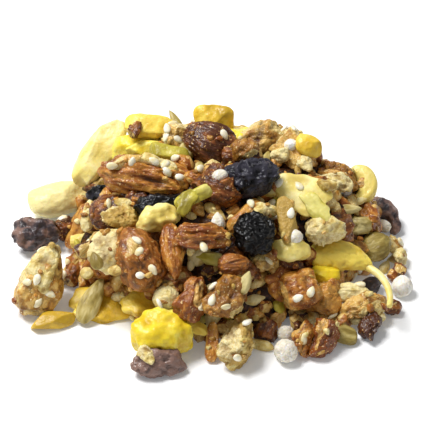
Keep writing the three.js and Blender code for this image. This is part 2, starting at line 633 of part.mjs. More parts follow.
// The separate pieces come first and keep a gap to each other. The heap is cut clear of them all.
function buildHeap() {
  const heap = new THREE.Group();
  const above = aboveFloor();
  const taken = [];
  const shapes = allShapes();
  const names = [...new Set(pieces.map((item) => item.node)), HEAP];
  for (const name of names) {
    const own = shapes.filter((shape) => shape.name === name).map((shape) => shape.geometry);
    let solid = own.map(solidOf).reduce((whole, next) => whole.add(next));
    for (const other of taken) {
      if (touches(solid, other)) solid = solid.subtract(other);
    }
    const { tint } = pieces.find((item) => item.node === name) ?? HEAP_FINISH;
    heap.add(meshOf(name, largestBody(solid.intersect(above)), tint));
    taken.push(...own.map((shape) => solidOf(shape).add(solidOf(swell(shape, GAP)))));
  }
  return heap;
}

export default buildHeap();
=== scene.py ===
"""A loose heap of granola: dried fruit, nuts, seeds and puffed grain, stuck together in small
clusters and tipped out on a flat surface. Sizes are in millimetres until a mesh is finished.
"""

import math
import random

import bmesh
import bpy
from mathutils import Matrix, Vector, noise
from mathutils.bvhtree import BVHTree


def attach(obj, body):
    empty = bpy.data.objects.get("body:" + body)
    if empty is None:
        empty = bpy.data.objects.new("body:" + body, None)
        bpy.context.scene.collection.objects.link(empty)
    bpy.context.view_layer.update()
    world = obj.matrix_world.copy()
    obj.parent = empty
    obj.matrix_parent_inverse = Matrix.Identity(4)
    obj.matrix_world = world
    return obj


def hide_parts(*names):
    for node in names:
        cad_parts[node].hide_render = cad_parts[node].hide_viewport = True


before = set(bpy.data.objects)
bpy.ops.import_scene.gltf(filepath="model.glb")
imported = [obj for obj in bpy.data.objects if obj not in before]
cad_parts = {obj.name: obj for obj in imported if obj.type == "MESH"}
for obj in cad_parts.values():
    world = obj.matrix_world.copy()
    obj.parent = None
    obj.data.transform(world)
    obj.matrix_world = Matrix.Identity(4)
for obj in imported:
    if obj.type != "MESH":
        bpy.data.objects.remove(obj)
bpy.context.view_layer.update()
MM = 0.001
SEED = 11
noise.seed_set(SEED)  # without it the crags of each piece would follow the clock

# ---- The core and the view that places are given in, as in the solids --------------------------

CORE = {
    "peak": (0.8, 11.7),  # plan position of its top
    "high": 27,
    "left": 40,  # from the peak to the rim, each way
    "right": 44,
    "front": 40,
    "back": 30,
    "shoulder": 2.5,  # over 2 makes the top broader
    "slope": 0.85,  # under 1 makes the foot steeper
}
CORE_WOBBLE = ((3, 0.04, 1.0), (5, 0.03, 2.2))  # waves round it, reach, phase
CORE_FINE = 6  # subdivisions of the ball that it is drawn out from
CORE_SWELL = 0.6  # its crumbs stand out by so much more than in the solids
CORE_RELIEF = (("lumps", 1.6, 5), ("crags", 1.4, 3.2), ("lumps", 0.5, 1.4))
CORE_FOOT = 4  # how fast the relief begins above the floor
CORE_TONE = 0.5  # the same all over, neither deep nor light

DOWN = math.radians(40)
SIGHT_DISTANCE = 450
SIGHT_CENTRE = Vector((0.8, -3.3, 20.5))
SIGHT_SEARCH = 90  # how far before and behind the centre a sight line is followed
SIGHT_STEP = 0.25
SEEN_WIDTH = 115.7  # what the picture shows across, at the centre
RIGHT = Vector((1, 0, 0))
UP = Vector((0, math.sin(DOWN), math.cos(DOWN)))
TOWARD = Vector((0, -math.cos(DOWN), math.sin(DOWN)))
FLAT_SINK = 0.3  # what lies on the floor is this much flattened underneath

# ---- Forms: what every piece of one kind has in common -----------------------------------------
# square: 2 is round, more is boxier. taper: how much the pointed end is narrower.
# knobby: height of the lumps. jag: depth of the teeth of its outline. grooves: along its length.
# chips: how many flat breaks it has. cut: the deepest is at this share of its half size.
# bare: the share of its breaks that show its inside. fine: subdivisions of its ball, where the
# rule for its length gives too few. relief: rows of how it is made, how high it stands and how far
# apart its bumps are, mm.

FORMS = {
    "mango": {"square": 3.6, "taper": 0.15, "knobby": 0.1, "chips": 9, "cut": 0.76, "bare": 0,
              "relief": (("lumps", 0.6, 4.2), ("lumps", 0.12, 1.3))},
    "fleshy": {"square": 2.4, "taper": 0, "knobby": 0.12,
               "relief": (("lumps", 1.2, 4.4), ("lumps", 0.55, 1.6))},
    "sheet": {"square": 2.8, "taper": 0.1, "knobby": 0.14, "jag": 0.1, "chips": 7, "cut": 0.8,
              "bare": 0, "relief": (("lumps", 0.8, 5), ("ribs", 0.3, 2.2))},
    "berry": {"square": 2.3, "taper": 0.1, "knobby": 0.14, "fine": 6,
              "relief": (("wrinkles", 0.7, 3), ("wrinkles", 0.4, 1.4), ("wrinkles", 0.1, 0.6))},
    "raisin": {"square": 2.3, "taper": 0.25, "knobby": 0.24,
               "relief": (("wrinkles", 0.7, 3.6), ("wrinkles", 0.3, 1.5))},
    "almond": {"square": 2.1, "taper": 0.45, "knobby": 0.06,
               "relief": (("ribs", 0.34, 1.0), ("lumps", 0.6, 3.4), ("crags", 0.16, 1.2))},
    "block": {"square": 2.6, "taper": 0.25, "knobby": 0.1, "chips": 8, "cut": 0.68, "bare": 0.3,
              "relief": (("lumps", 0.6, 3.2), ("crags", 0.5, 1.8), ("lumps", 0.2, 0.9))},
    "nut": {"square": 2.4, "taper": 0.1, "knobby": 0.2, "chips": 10, "cut": 0.64, "bare": 0.35,
            "relief": (("lumps", 0.8, 3.4), ("crags", 0.8, 2.4), ("lumps", 0.3, 0.9))},
    "pecan": {"square": 2.4, "taper": 0.15, "knobby": 0.1, "grooves": 0.2,
              "relief": (("ribs", 1.1, 2.4), ("ribs", 0.5, 1.1), ("lumps", 0.4, 3), ("crags", 0.3, 1))},
    "caramel": {"square": 3.6, "taper": 0, "knobby": 0.12, "chips": 8, "cut": 0.76, "bare": 0.1,
                "relief": (("lumps", 0.6, 3), ("crags", 0.4, 1.4), ("lumps", 0.25, 0.8))},
    "kernel": {"square": 2.1, "taper": 0.6, "knobby": 0.03,
               "relief": (("ribs", 0.07, 1.2), ("lumps", 0.2, 2), ("lumps", 0.12, 0.8))},
    "leathery": {"square": 2.1, "taper": 0.6, "knobby": 0.03,
                 "relief": (("lumps", 0.5, 3.6), ("wrinkles", 0.24, 1.5), ("lumps", 0.14, 0.7))},
    "puff": {"square": 2.0, "taper": 0, "knobby": 0.05,
             "relief": (("lumps", 0.3, 2.2), ("crags", 0.2, 1.1))},
    "crumb": {"square": 2.6, "taper": 0.1, "knobby": 0.25, "chips": 10, "cut": 0.56, "bare": 0.45,
              "relief": (("lumps", 0.5, 2.2), ("crags", 0.5, 1.8))},
    "sesame": {"square": 2.0, "taper": 0.5, "knobby": 0, "relief": ()},
}
KNOB_WAVES = (  # share of the height, the waves along and across, how a phase moves both
    (0.6, Vector((2.6, 1.9, 0)), Vector((0, -1.3, 2.8)), (1, 2)),
    (0.4, Vector((0, 5.3, -4.1)), Vector((4.7, 0, 0)), (3, 1)),
)
NEXT_PHASE = 1.7  # two pieces that follow one another are so far apart in their patterns
LAY = 20  # degrees that most pieces are turned up from the viewer
POINT_THINS = 0.6  # a pointed end is also thinner, by this share of its taper
FLAKE_TEETH = (3, 5, 8)  # waves round the edge of a flake
FLAKE_UPRIGHT = 0.1  # the breaks of a flake hardly lean: they are in its edge
NUT_GROOVES = 7  # how close the grooves of a nut half lie
BREAK_SPREAD = 0.3  # the shallowest break is so much further out than the deepest
BREAK_ROUND = 0.1  # what would stand past a break keeps this share of it
BREAK_EDGE = 12  # how fast the inside begins to show at the edge of a break
FULLER = 1.06  # what is broken is this much larger, to keep the size of the solid
WRINKLES = (0.6, 2.4)  # height of the ridges and fall of the creases, as shares of the relief
CRAGS_APART = 0.9  # crags are a little broader than their row says
RIBS = (6, 2)  # length of a rib in widths, and fall beside it
DEEP = 1.3  # relief at least so high, mm, has its dips darkened fully with painted shade
THICK_ENOUGH = 6  # pieces thinner than this, mm, have less relief
RELIEF_APART = (13.7, 5.1)  # with each phase the relief moves on by so much, mm
PATTERN_APART = Vector((31.7, 17.3, 7.9))  # and the colours by so much
FINENESS = ((7, 5), (4.6, 4), (3.4, 3), (0, 2))  # pieces at least so long are so fine

# ---- The pieces --------------------------------------------------------------------------------
# node, form, tint, (right, up), (long, wide, thick), turns. Pieces that share a node are stuck
# together. spin: anticlockwise as seen. lay: face turned up from the viewer, about 50 is flat.
# near: its middle is so far in front of the core. floor: it rests on the floor.
# curl: bent in its own plane, by so many degrees. tone: about 0 is deep in colour and 1 light, and
# without it the tone is drawn. bare: in place of its form's. lift: a bit lies so much nearer to the
# viewer, where it would be buried.

PIECES = []
BITS = []


def piece(node, form, tint, seen, size, **turns):
    shared = {"node": node, "form": form, "tint": tint, "seen": seen, "size": size}
    PIECES.append({**shared, **turns, "phase": NEXT_PHASE * len(PIECES)})


def bit(form, tint, seen, size, **turns):
    """A smaller bit, stuck to whatever shows at its place as seen."""
    shared = {"form": form, "tint": tint, "seen": seen, "size": size}
    BITS.append({**shared, **turns, "phase": NEXT_PHASE * len(BITS)})


def place_fruit():
    piece("mango_lump", "fleshy", "yellow", (-14.2, -32.4), (16, 11.4, 11), spin=-4, near=9, tone=0.4)
    piece("dried_berry_middle", "berry", "black", (10.8, -5.2), (10.4, 10.4, 9.4), spin=70, near=7, tone=0)
    # its tone of 1 is painted sheen: the berry is painted grey-blue, as if lit on its top
    piece("dried_berry_top", "berry", "black", (9.8, 9.8), (15.4, 9.8, 9.5), spin=12, near=7, tone=1)
    piece("raisin_left", "raisin", "purple", (-47.8, -5.2), (13, 9, 8), spin=8, floor=True, tone=0.6)
    piece("golden_fruit", "leathery", "gold", (34.2, -12.4), (18.4, 9.8, 7.6),
          spin=-8, curl=50, near=7, tone=0.9)
    # its tone of 1.4, past the lightest, is painted light that makes up for the shade on its right half
    piece("mango_block", "mango", "pale_yellow", (-42.2, 3.6), (16, 9, 9), spin=14, floor=True, tone=1.4)
    piece("mango_strip", "mango", "pale_yellow", (-31, 16.8), (20, 9.6, 5),
          spin=63, lay=10, near=-1, tone=0.8)
    piece("mango_bright", "mango", "yellow", (-21, 17.6), (13.4, 7.4, 6), spin=8, near=5, tone=0.9)
    piece("mango_gold_back", "mango", "gold", (-17.6, 23.4), (12.4, 7, 5), spin=-4, near=2)
    piece("mango_yellow_back", "mango", "gold", (0, 25.4), (10.4, 8.4, 6), spin=4, near=2)
    piece("mango_green_back", "mango", "green", (-12, 16), (10.6, 5, 5), spin=-10, near=5)
    piece("mango_right", "mango", "yellow", (30, -16.5), (7.2, 5.6, 5), spin=8, near=7)
    piece("fruit_flake", "sheet", "pale_yellow", (23.8, 5.8), (15.4, 11, 2.4), spin=-18, near=7, tone=0.6)
    piece("fruit_strip_green", "mango", "green", (-4.3, 5), (12, 4.2, 3.4), spin=28, near=6, tone=0.3)
    piece("fruit_strip_tan", "mango", "cream", (19.4, -2), (12.6, 4.6, 4),
          spin=-80, curl=30, near=8, tone=-0.8)
    piece("fruit_chunk_pale", "mango", "pale_yellow", (20.5, -9.8), (10.4, 6, 6), spin=8, near=7, tone=0.3)
    piece("fruit_chunk_green", "fleshy", "pale_yellow", (-15.2, -1.4), (10.8, 7, 6), spin=14, near=6)
    piece("raisin_under_pecan", "raisin", "black", (-29.2, 5), (9.4, 6, 6), spin=10, near=5)
    piece("raisin_middle", "raisin", "black", (-14.4, 2.5), (13.6, 6, 6), spin=5, near=4)
    piece("raisin_right", "raisin", "purple", (46.6, -0.6), (12, 5, 5),
          spin=-58, curl=70, floor=True)
    piece("fruit_purple", "nut", "purple", (-15.2, -39.8), (14.4, 7.4, 6),
          spin=3, lay=35, floor=True, tone=1.4)
    piece("mango_sheet_left", "sheet", "gold", (-29, -24), (20, 12, 2.6),
          spin=8, lay=42, floor=True, tone=0.6)
    piece("mango_sheet_middle", "sheet", "gold", (-19.8, -24.4), (9.5, 8.5, 2.4), lay=40, near=4, tone=0.7)
    piece("mango_slab_left", "mango", "gold", (-43.6, -28.8), (10.8, 5.4, 4),
          spin=12, lay=35, floor=True, tone=0)
    piece("fruit_strip_gold", "mango", "gold", (-6.8, -29.4), (11.2, 3.8, 3), spin=-30, near=5)
    piece("curled_peel", "mango", "pale_yellow", (39.4, 7.4), (14, 4.8, 4.6),
          spin=-100, curl=220, near=4, tone=0)
    piece("fruit_bit_front", "mango", "grey_green", (35.4, -32.7), (6, 4.6, 3.4), spin=-12, floor=True)


def place_nuts():
    piece("pecan", "pecan", "amber", (-18.4, 10.2), (24, 10.6, 9), spin=-9, near=7, tone=0.5)
    piece("almond_top", "almond", "brown", (-1.4, 19.4), (15.2, 14, 10), spin=150, near=9, tone=0)
    piece("almond_top", "nut", "honey", (-9.6, 21.6), (9, 7, 7), spin=40, near=9)
    piece("almond_left", "almond", "brown", (-27.4, 0.6), (12.6, 11, 9), spin=20, near=6)
    piece("almond_left", "nut", "cream", (-25.1, -1.1), (10, 6.8, 6), spin=8, near=8, tone=0)
    piece("almond_cluster_front", "block", "brown", (-20.6, -12.4), (16, 14, 11), spin=130, near=9)
    piece("almond_cluster_front", "block", "cream", (-27.6, -9.8), (13.6, 10.4, 9), spin=28, near=10)
    piece("almond_wedge", "almond", "amber", (-11.2, -10.2), (15.4, 6.4, 6), spin=-84, near=7, tone=0.3)
    piece("nut_cluster_left", "block", "honey", (-46.8, -18.2), (18.6, 12.4, 10),
          spin=80, lay=10, floor=True, tone=0.7)
    piece("nut_cluster_left", "block", "cream", (-46, -15), (14, 8.4, 7), spin=72, lay=10, near=17, tone=0.7)
    piece("walnut_red", "pecan", "amber", (-3.8, -6.2), (14.6, 7, 7), spin=3, near=7, tone=0.2)
    piece("caramel_cluster", "caramel", "amber", (22.8, -21), (10, 9.6, 8), spin=20, near=8, tone=0.6)
    piece("caramel_cluster", "caramel", "amber", (29.8, -22.4), (8.6, 9.4, 8), spin=-12, near=9, tone=0.9)
    piece("nut_honey_front", "nut", "honey", (3.5, -23), (12.6, 9.8, 9), spin=62, near=8, tone=0)
    piece("nut_rough_front", "nut", "amber", (-5.7, -23), (11.8, 7.4, 7), spin=66, near=7, tone=0, bare=0.1)
    piece("nut_cream_front", "nut", "cream", (6.2, -34.8), (13.6, 10.4, 9), spin=70, floor=True, tone=0)
    piece("walnut_right", "nut", "honey", (40.4, -25.4), (15, 6.2, 6), spin=20, near=7, tone=0.7)
    piece("walnut_pale", "block", "cream", (30.1, -4.4), (10.2, 7.4, 7), spin=5, near=9, tone=0.8)
    piece("nut_green_right", "puff", "grey_green", (43.6, -8.8), (9, 8.4, 6.6), spin=30, near=7, tone=0.2)
    piece("nut_cluster_back", "nut", "honey", (13, 20.4), (14.5, 10, 9), spin=35, near=7, tone=0.8)
    piece("nut_cluster_back_right", "nut", "honey", (21.4, 17.6), (14.4, 11, 9), spin=-30, near=7, tone=0.9)
    piece("nut_red_left", "nut", "brown", (-39.2, -3.6), (8, 7.2, 7), spin=40, near=6)
    piece("nut_amber_front", "nut", "amber", (24, -33.6), (9.6, 6, 6), spin=80, floor=True, tone=0.4)
    piece("nut_curl_front", "nut", "amber", (29.8, -33.2), (10.8, 6.8, 6), spin=78, floor=True, tone=-0.4)
    piece("nut_brown_middle", "almond", "brown", (5.4, -13.8), (8.4, 6.6, 6), spin=10, near=6, tone=0.7)
    piece("nut_cone_right", "nut", "brown", (42.4, -30.2), (7.8, 5.4, 5),
          spin=75, floor=True, tone=-0.4, bare=0)
    piece("nut_bit_right", "nut", "brown", (48, -25.6), (5.6, 3.8, 3.6), spin=10, floor=True)
    piece("nut_tan_right", "nut", "cream", (50, -11.8), (5.4, 4.8, 4.4), spin=30, floor=True)


def place_seeds():
    piece("pumpkin_seed_left", "kernel", "grey_green", (-33, -23.2), (14.2, 6.6, 3.6),
          spin=66, near=7)
    piece("kernel_right", "almond", "cream", (37, -21.2), (9.8, 5.8, 4.4), spin=2, near=10, tone=1)
    piece("nut_ball_cream", "puff", "cream", (-13, -22.8), (7, 6.6, 6.4), near=7, tone=1)
    piece("puff_ball_front", "puff", "white", (19.5, -37), (6.4, 6.4, 6.2), floor=True)
    piece("puff_ball_right", "puff", "white", (50.8, -19.6), (5.8, 5.8, 5.6), floor=True)


def place_small_fruit():
    bit("mango", "pale_yellow", (-35.9, -6.6), (7.4, 4, 2.4), spin=20)
    bit("mango", "cream", (-34, -0.4), (8, 4, 3), spin=75)
    bit("nut", "cream", (32.4, 8.4), (10, 7, 5), spin=-10, tone=1, lift=0.8)
    bit("nut", "cream", (-18.1, -38.2), (5, 4, 3.6), spin=-50)
    bit("sheet", "green", (27.8, 1.4), (10, 5, 2.4), spin=-48)
    bit("mango", "gold", (25.6, 18.2), (7, 5.6, 4.6), spin=-20)
    # its tone of 1 is painted light against the shade of the walnut above it
    bit("mango", "green", (-0.8, -11.9), (8.6, 3.8, 3), spin=-8, lift=1.8, tone=1)
    bit("mango", "green", (18, -23.8), (6.4, 3, 2.4), spin=85, curl=80)
    bit("mango", "amber", (-0.3, -34.6), (9.8, 3.6, 3.2), spin=88)
    bit("raisin", "purple", (42.6, -19.2), (6.2, 4.4, 4), spin=25)


def place_small_nuts():
    bit("nut", "honey", (8.4, 17.2), (7.4, 5.6, 5), spin=30)
    bit("nut", "cream", (30.2, 7.6), (5, 4.2, 4))
    bit("nut", "amber", (32.7, 10.8), (8.2, 2.2, 2), spin=-8)
    bit("nut", "grey_green", (39.3, -3.2), (6.2, 5.8, 5), lift=1)
    bit("nut", "cream", (13.8, 1), (6, 4.2, 4), spin=10)
    bit("nut", "amber", (-4.6, 1.2), (5.4, 5, 4.6), spin=40)
    # its tone of 0.9 is painted light against the shadow that the middle berry casts on it
    bit("nut", "honey", (13, -13.2), (7.8, 5, 4.8), spin=-6, lift=2.4, tone=0.9)
    bit("nut", "brown", (-38.8, -16.8), (6.2, 5.6, 5), spin=70)
    bit("nut", "brown", (14, -31.6), (6.8, 5.8, 5.4), spin=60)
    bit("crumb", "cream", (38.6, -28.6), (5, 2.8, 2.6))


def place_small_seeds():
    bit("kernel", "grey_green", (-10.2, 24.8), (8.4, 3, 2.2), spin=118)
    bit("puff", "white", (1.6, 10.4), (4.4, 3.2, 3), spin=10)
    bit("puff", "white", (33.5, 7.2), (4.2, 3, 2.8), spin=-30)
    bit("kernel", "grey_green", (35.9, 4.2), (8.4, 3.6, 2.8), spin=175, lift=1.4)
    bit("kernel", "grey_green", (36.4, 1.2), (7.4, 3.4, 2.8), spin=5, lift=1.4)
    bit("puff", "white", (45.8, -3.2), (4.6, 3.6, 3.2), spin=-20, lift=8)
    bit("puff", "white", (21.9, -6.2), (4.2, 4, 3.8))
    bit("kernel", "cream", (0.4, 0.6), (7.2, 3.6, 2.6), spin=-40)
    bit("kernel", "white", (1.1, -2.2), (5.4, 4.4, 4), spin=95, lift=1)
    bit("kernel", "cream", (-35.6, -11.6), (5.2, 3.8, 2.6), spin=60)
    bit("kernel", "grey_green", (-31.9, -12.6), (5.2, 3.8, 2.6), spin=110)
    bit("kernel", "cream", (-33.8, -15.6), (5.2, 3.8, 2.6), spin=30)
    bit("kernel", "grey_green", (8.4, -18.6), (6.8, 3.8, 3), spin=70)
    bit("kernel", "cream", (11, -23.2), (5.8, 3.4, 2.8), spin=15)
    bit("puff", "white", (19.4, -32.4), (4.4, 4.4, 4.2))


def place_finest():
    """Bits too fine for the solids."""
    bit("crumb", "amber", (43.2, -1.2), (3.6, 2.6, 2.4))
    bit("crumb", "grey_green", (14.6, 5.6), (3.8, 3, 2.6))
    bit("crumb", "cream", (10.6, -26.8), (3.6, 2.8, 2.4))
    bit("crumb", "amber", (48.2, -16.6), (4.2, 3.2, 3), spin=-30)
    bit("crumb", "cream", (45.2, -27.8), (3, 2.4, 2))
    bit("kernel", "white", (36.2, 6), (3.6, 2.8, 2.2), spin=40)
    bit("kernel", "cream", (39.7, 3.6), (3.6, 2.4, 2), spin=20)
    bit("kernel", "cream", (-6.2, -9.6), (3.8, 2.4, 1.8), spin=80)
    bit("kernel", "cream", (-6.2, -13.2), (4.4, 2.4, 1.8), spin=85)
    bit("kernel", "amber", (15.6, -17.6), (4, 3, 2))
    bit("kernel", "cream", (46.2, -14.3), (4.4, 3.2, 2), spin=60)
    bit("mango", "cream", (12.8, -35.4), (6.6, 2.8, 2), spin=-10)
    bit("nut", "brown", (-21.6, 22.7), (4.8, 4, 4), spin=60)
    bit("crumb", "brown", (20.5, -13.5), (7.4, 5, 4.4), spin=-10)
    bit("crumb", "amber", (16.8, -14.4), (6, 4.4, 4), spin=60)
    bit("crumb", "honey", (-25.8, 13.6), (6, 3.4, 3), spin=35)
    bit("crumb", "honey", (-21.4, 14.2), (6.6, 3.6, 3), spin=5)
    bit("crumb", "cream", (-16.8, 14.2), (6.4, 3.6, 3), spin=-12)
    bit("crumb", "cream", (-12.4, 12.6), (6, 3.6, 3), spin=-30)
    bit("crumb", "amber", (-8.8, 9.4), (6.6, 5, 4), spin=-60)
    bit("kernel", "cream", (-23.9, 3.1), (6.2, 2.8, 2), spin=-5)
    bit("kernel", "cream", (-25.9, -15.1), (5.6, 3.4, 2), spin=5)
    bit("crumb", "brown", (-34.6, -9.4), (6.6, 4.6, 4), spin=40)
    bit("crumb", "amber", (10.4, -27), (6, 4.4, 4), spin=20)
    bit("crumb", "brown", (3.4, -30.4), (6.4, 4.6, 4.2), spin=-30)
    bit("crumb", "amber", (16.4, -28), (6.8, 5, 4.4), spin=50)
    bit("crumb", "brown", (-1, -15.6), (5.6, 3.6, 3.4), spin=30)
    bit("crumb", "brown", (-37, -13.4), (7, 5.6, 5), spin=50)
    bit("crumb", "honey", (48.6, -8.2), (5.6, 4.4, 4), spin=-40)
    bit("crumb", "brown", (50.2, -15.2), (5, 4, 3.6), spin=70)
    bit("crumb", "amber", (39.8, 8), (4.4, 3.2, 3), spin=20)
    bit("crumb", "brown", (24.6, -26.4), (6, 4.6, 4), spin=-20)
    bit("crumb", "cream", (26, -28.4), (5.4, 4.4, 4), spin=20)
    bit("crumb", "brown", (22.4, -29.4), (5.6, 4.6, 4), spin=60)
    bit("crumb", "honey", (30.8, -27.8), (6, 4.8, 4), spin=-20)
    bit("crumb", "brown", (34.6, -28.8), (5, 4, 3.6), spin=10)
    bit("sheet", "green", (-7.4, 3.2), (7, 4.6, 2.4), spin=60)
    bit("mango", "yellow", (-18.6, 17.4), (10, 4.6, 4), spin=6)
    bit("crumb", "cream", (18.4, 15.6), (6, 4, 3.6), spin=30)
    bit("puff", "white", (20.8, 18.6), (4, 3.6, 3.4))
    bit("crumb", "cream", (24.6, 13.8), (5.4, 4, 3.6), spin=-40)


place_fruit()
place_nuts()
place_seeds()
place_small_fruit()
place_small_nuts()
place_small_seeds()
place_finest()

# The golden fruit ends in a stalk, which leaves it at the first of these places and droops.
STALK = {
    "node": "golden_fruit",
    "tint": "pale_yellow",
    "thick": 1.8,
    "foot": 1.25,  # it leaves the fruit so much thicker
    "thins": 0.4,  # and loses so much of its thickness on the way
    "round": 6,  # how blunt its ends are
    "pole": 1.02,  # the ends of the ball are pressed flat from here on
    "fine": 4,
    "dip": 0.2,  # a little shade all over, on the lighter side of its tint
    "tone": 0.6,
    "droop": 2.2,  # each place is so much nearer to the viewer than the one before
    "seen": ((41, -14), (44.6, -16.4), (46.8, -19.4), (47.6, -22.6), (47.4, -25)),
}

# Sesame seeds lie flat on whatever shows at these places.
SESAME = {"form": "sesame", "tint": "sesame", "size": (3.3, 2.4, 1.3)}
SESAME_SPIN = 77  # each lies so many degrees round from the one before
SESAME_SEEN = (
    (-27.5, 13), (-22.1, 14), (-16.2, 14.3), (-13.2, 13.5), (-12.7, 11.3), (-9.2, 10),
    (-12.7, 23.2), (-11.1, 24.3), (-13, 20.8), (-9.8, 20.3),
    (17.6, 8.4), (23, 7.6), (15.3, 2.8), (10, 2.8), (16.7, -0.8), (20.8, 0.3),
    (-20.8, -7), (-20.3, -10.3), (-16.5, -15.1), (-19.7, -16.5),
    (-51.6, -14.9), (-50.6, -18.4), (-47.9, -17.8), (-44.3, -21.6), (-47.6, -24), (-40.8, -16.2),
    (-41, -1.2), (-28.4, 2.7), (-0.3, -19.4), (-0.5, -23.2), (3.2, -25.1), (-3.4, -25.1),
    (14.9, -12.4), (22.7, -22.7), (24.3, -33.8), (39.4, -19),
)

# The rest of the core is covered by pieces that follow a rule: evenly spread round the peak, in
# turn one of these kinds, and left out where another piece already lies.
FILL = {
    "count": 44,
    "spread": 0.42,  # under 0.5 puts more of them on the steep foot
    "turn": math.radians(137.5),
    "spin": 77,
    "vary": 0.12,  # share that their sizes differ by
    "sunk": 0.2,  # share of their thickness that their middle lies above the core
    "close": 7,  # two are too close when their long and wide sides make so many distances
}
FILL_KINDS = (
    ("nut", "honey", (12.5, 9.2, 8)),
    ("kernel", "grey_green", (11, 6.4, 4.6)),
    ("nut", "brown", (11.6, 9.6, 8.4)),
    ("mango", "yellow", (12.6, 8.8, 6.4)),
    ("nut", "cream", (10.6, 8.4, 7.4)),
    ("raisin", "black", (11.4, 8.8, 7.6)),
    ("nut", "amber", (10.6, 8.4, 7.4)),
)
FRUIT_BEHIND = 14  # in front of this plan line no fruit is among them, but nuts of its shape
NUT_TINTS = {  # and the nuts there are of deeper tints
    "black": "brown",
    "yellow": "amber",
    "grey_green": "cream",
    "honey": "brown",
    "cream": "amber",
}

# ---- Placing: the same rules as the solids -----------------------------------------------------


def rim_reach(angle):
    """Distance from the core's peak to its rim, in the plan direction of an angle."""
    across = math.cos(angle) / CORE["right" if math.cos(angle) > 0 else "left"]
    deep = math.sin(angle) / CORE["back" if math.sin(angle) > 0 else "front"]
    wobble = 1 + sum(reach * math.sin(waves * angle + phase) for waves, reach, phase in CORE_WOBBLE)
    return wobble / math.hypot(across, deep)


def dome_height(share):
    """Height of the core at a share of the way from its peak to its rim."""
    if share >= 1:
        return 0
    return CORE["high"] * (1 - share ** CORE["shoulder"]) ** CORE["slope"]


def core_height(x, y):
    dx, dy = x - CORE["peak"][0], y - CORE["peak"][1]
    return dome_height(math.hypot(dx, dy) / rim_reach(math.atan2(dy, dx)))


def core_faces(x, y):
    """The direction that the core faces at a place."""
    step = 1
    slope_x = (core_height(x + step, y) - core_height(x - step, y)) / (2 * step)
    slope_y = (core_height(x, y + step) - core_height(x, y - step)) / (2 * step)
    return Vector((-slope_x, -slope_y, 1)).normalized()


def knobs(direction, phase):
    """Smooth lumps, -1 to 1, over the directions of a sphere."""
    height = 0
    for share, along, across, phases in KNOB_WAVES:
        wave = math.sin(direction.dot(along) + phases[0] * phase)
        height += share * wave * math.cos(direction.dot(across) + phases[1] * phase)
    return height


def bent(point, long, curl):
    """Bends a point of a piece so long round an arc in its own plane, and keeps it centred."""
    radius = long / curl
    angle = point.x / radius
    out = radius + point.y
    sag = radius * (1 - math.cos(curl / 2))
    return Vector((out * math.sin(angle), out * math.cos(angle) - radius + sag / 2, point.z))


def turn_onto(faces, spin):
    """Turns a piece that lies on a surface that faces one way: its length spins in that surface."""
    side = (RIGHT - faces * RIGHT.dot(faces)).normalized()
    surface = Matrix((side, faces.cross(side), faces)).transposed()
    return surface @ Matrix.Rotation(math.radians(spin), 3, "Z")


def turn_seen(item):
    view = Matrix((RIGHT, UP, TOWARD)).transposed()
    lay = Matrix.Rotation(-math.radians(item.get("lay", LAY)), 3, "X")
    return view @ lay @ Matrix.Rotation(math.radians(item.get("spin", 0)), 3, "Z")


EYE = SIGHT_CENTRE + TOWARD * SIGHT_DISTANCE


def sight_line(seen):
    """The direction of the sight line through a place as seen."""
    return (SIGHT_CENTRE + RIGHT * seen[0] + UP * seen[1] - EYE).normalized()


def sight_meets(line):
    """Where a sight line meets the core or the floor, or else passes closest above the core."""
    closest, least = None, math.inf
    for i in range(int(2 * SIGHT_SEARCH / SIGHT_STEP)):
        point = EYE + line * (SIGHT_DISTANCE - SIGHT_SEARCH + i * SIGHT_STEP)
        core = core_height(point.x, point.y)
        clear = point.z - core
        if core > 0 and clear < least:
            closest, least = point, clear
        if clear <= 0:
            return point if core > 0 or closest is None else closest
    return closest


# ---- Carving: a ball drawn out to a piece's form, with its breaks and its relief ---------------


def breaks_of(item):
    """The flat breaks of a piece, as directions, how far out each lies and whether it is bare."""
    form = FORMS[item["form"]]
    draw = random.Random(item["phase"])
    breaks = []
    for _ in range(form.get("chips", 0)):
        lean = FLAKE_UPRIGHT if "jag" in form else 1
        away = Vector((draw.gauss(0, 1), draw.gauss(0, 1), lean * draw.gauss(0, 1))).normalized()
        bare = draw.random() < item.get("bare", form["bare"])
        breaks.append((away, form["cut"] + draw.uniform(0, BREAK_SPREAD), bare))
    return breaks


def relief_at(point, rows):
    """How far the surface stands out at a point, in mm, and how deep in a dip it is, 0 to 1."""
    stands, most = 0, 0.001  # the most that it could stand out, never quite 0
    for how, high, apart in rows:
        place = point / apart
        if how == "lumps":
            stands += high * noise.noise(place)
        elif how == "wrinkles":
            stands += high * (WRINKLES[0] - WRINKLES[1] * abs(noise.noise(place)))
        elif how == "crags":
            cell = place * CRAGS_APART + noise.noise_vector(place)
            stands += high * (0.5 - noise.cell_vector(cell)[0])
        elif how == "ribs":
            place = Vector((point.x / (RIBS[0] * apart), point.y / apart, point.z / apart))
            stands += high * (0.5 - RIBS[1] * abs(noise.noise(place)))
        most += high
    return stands, min(1, max(0, 0.5 - stands / most)) * min(1, most / DEEP)


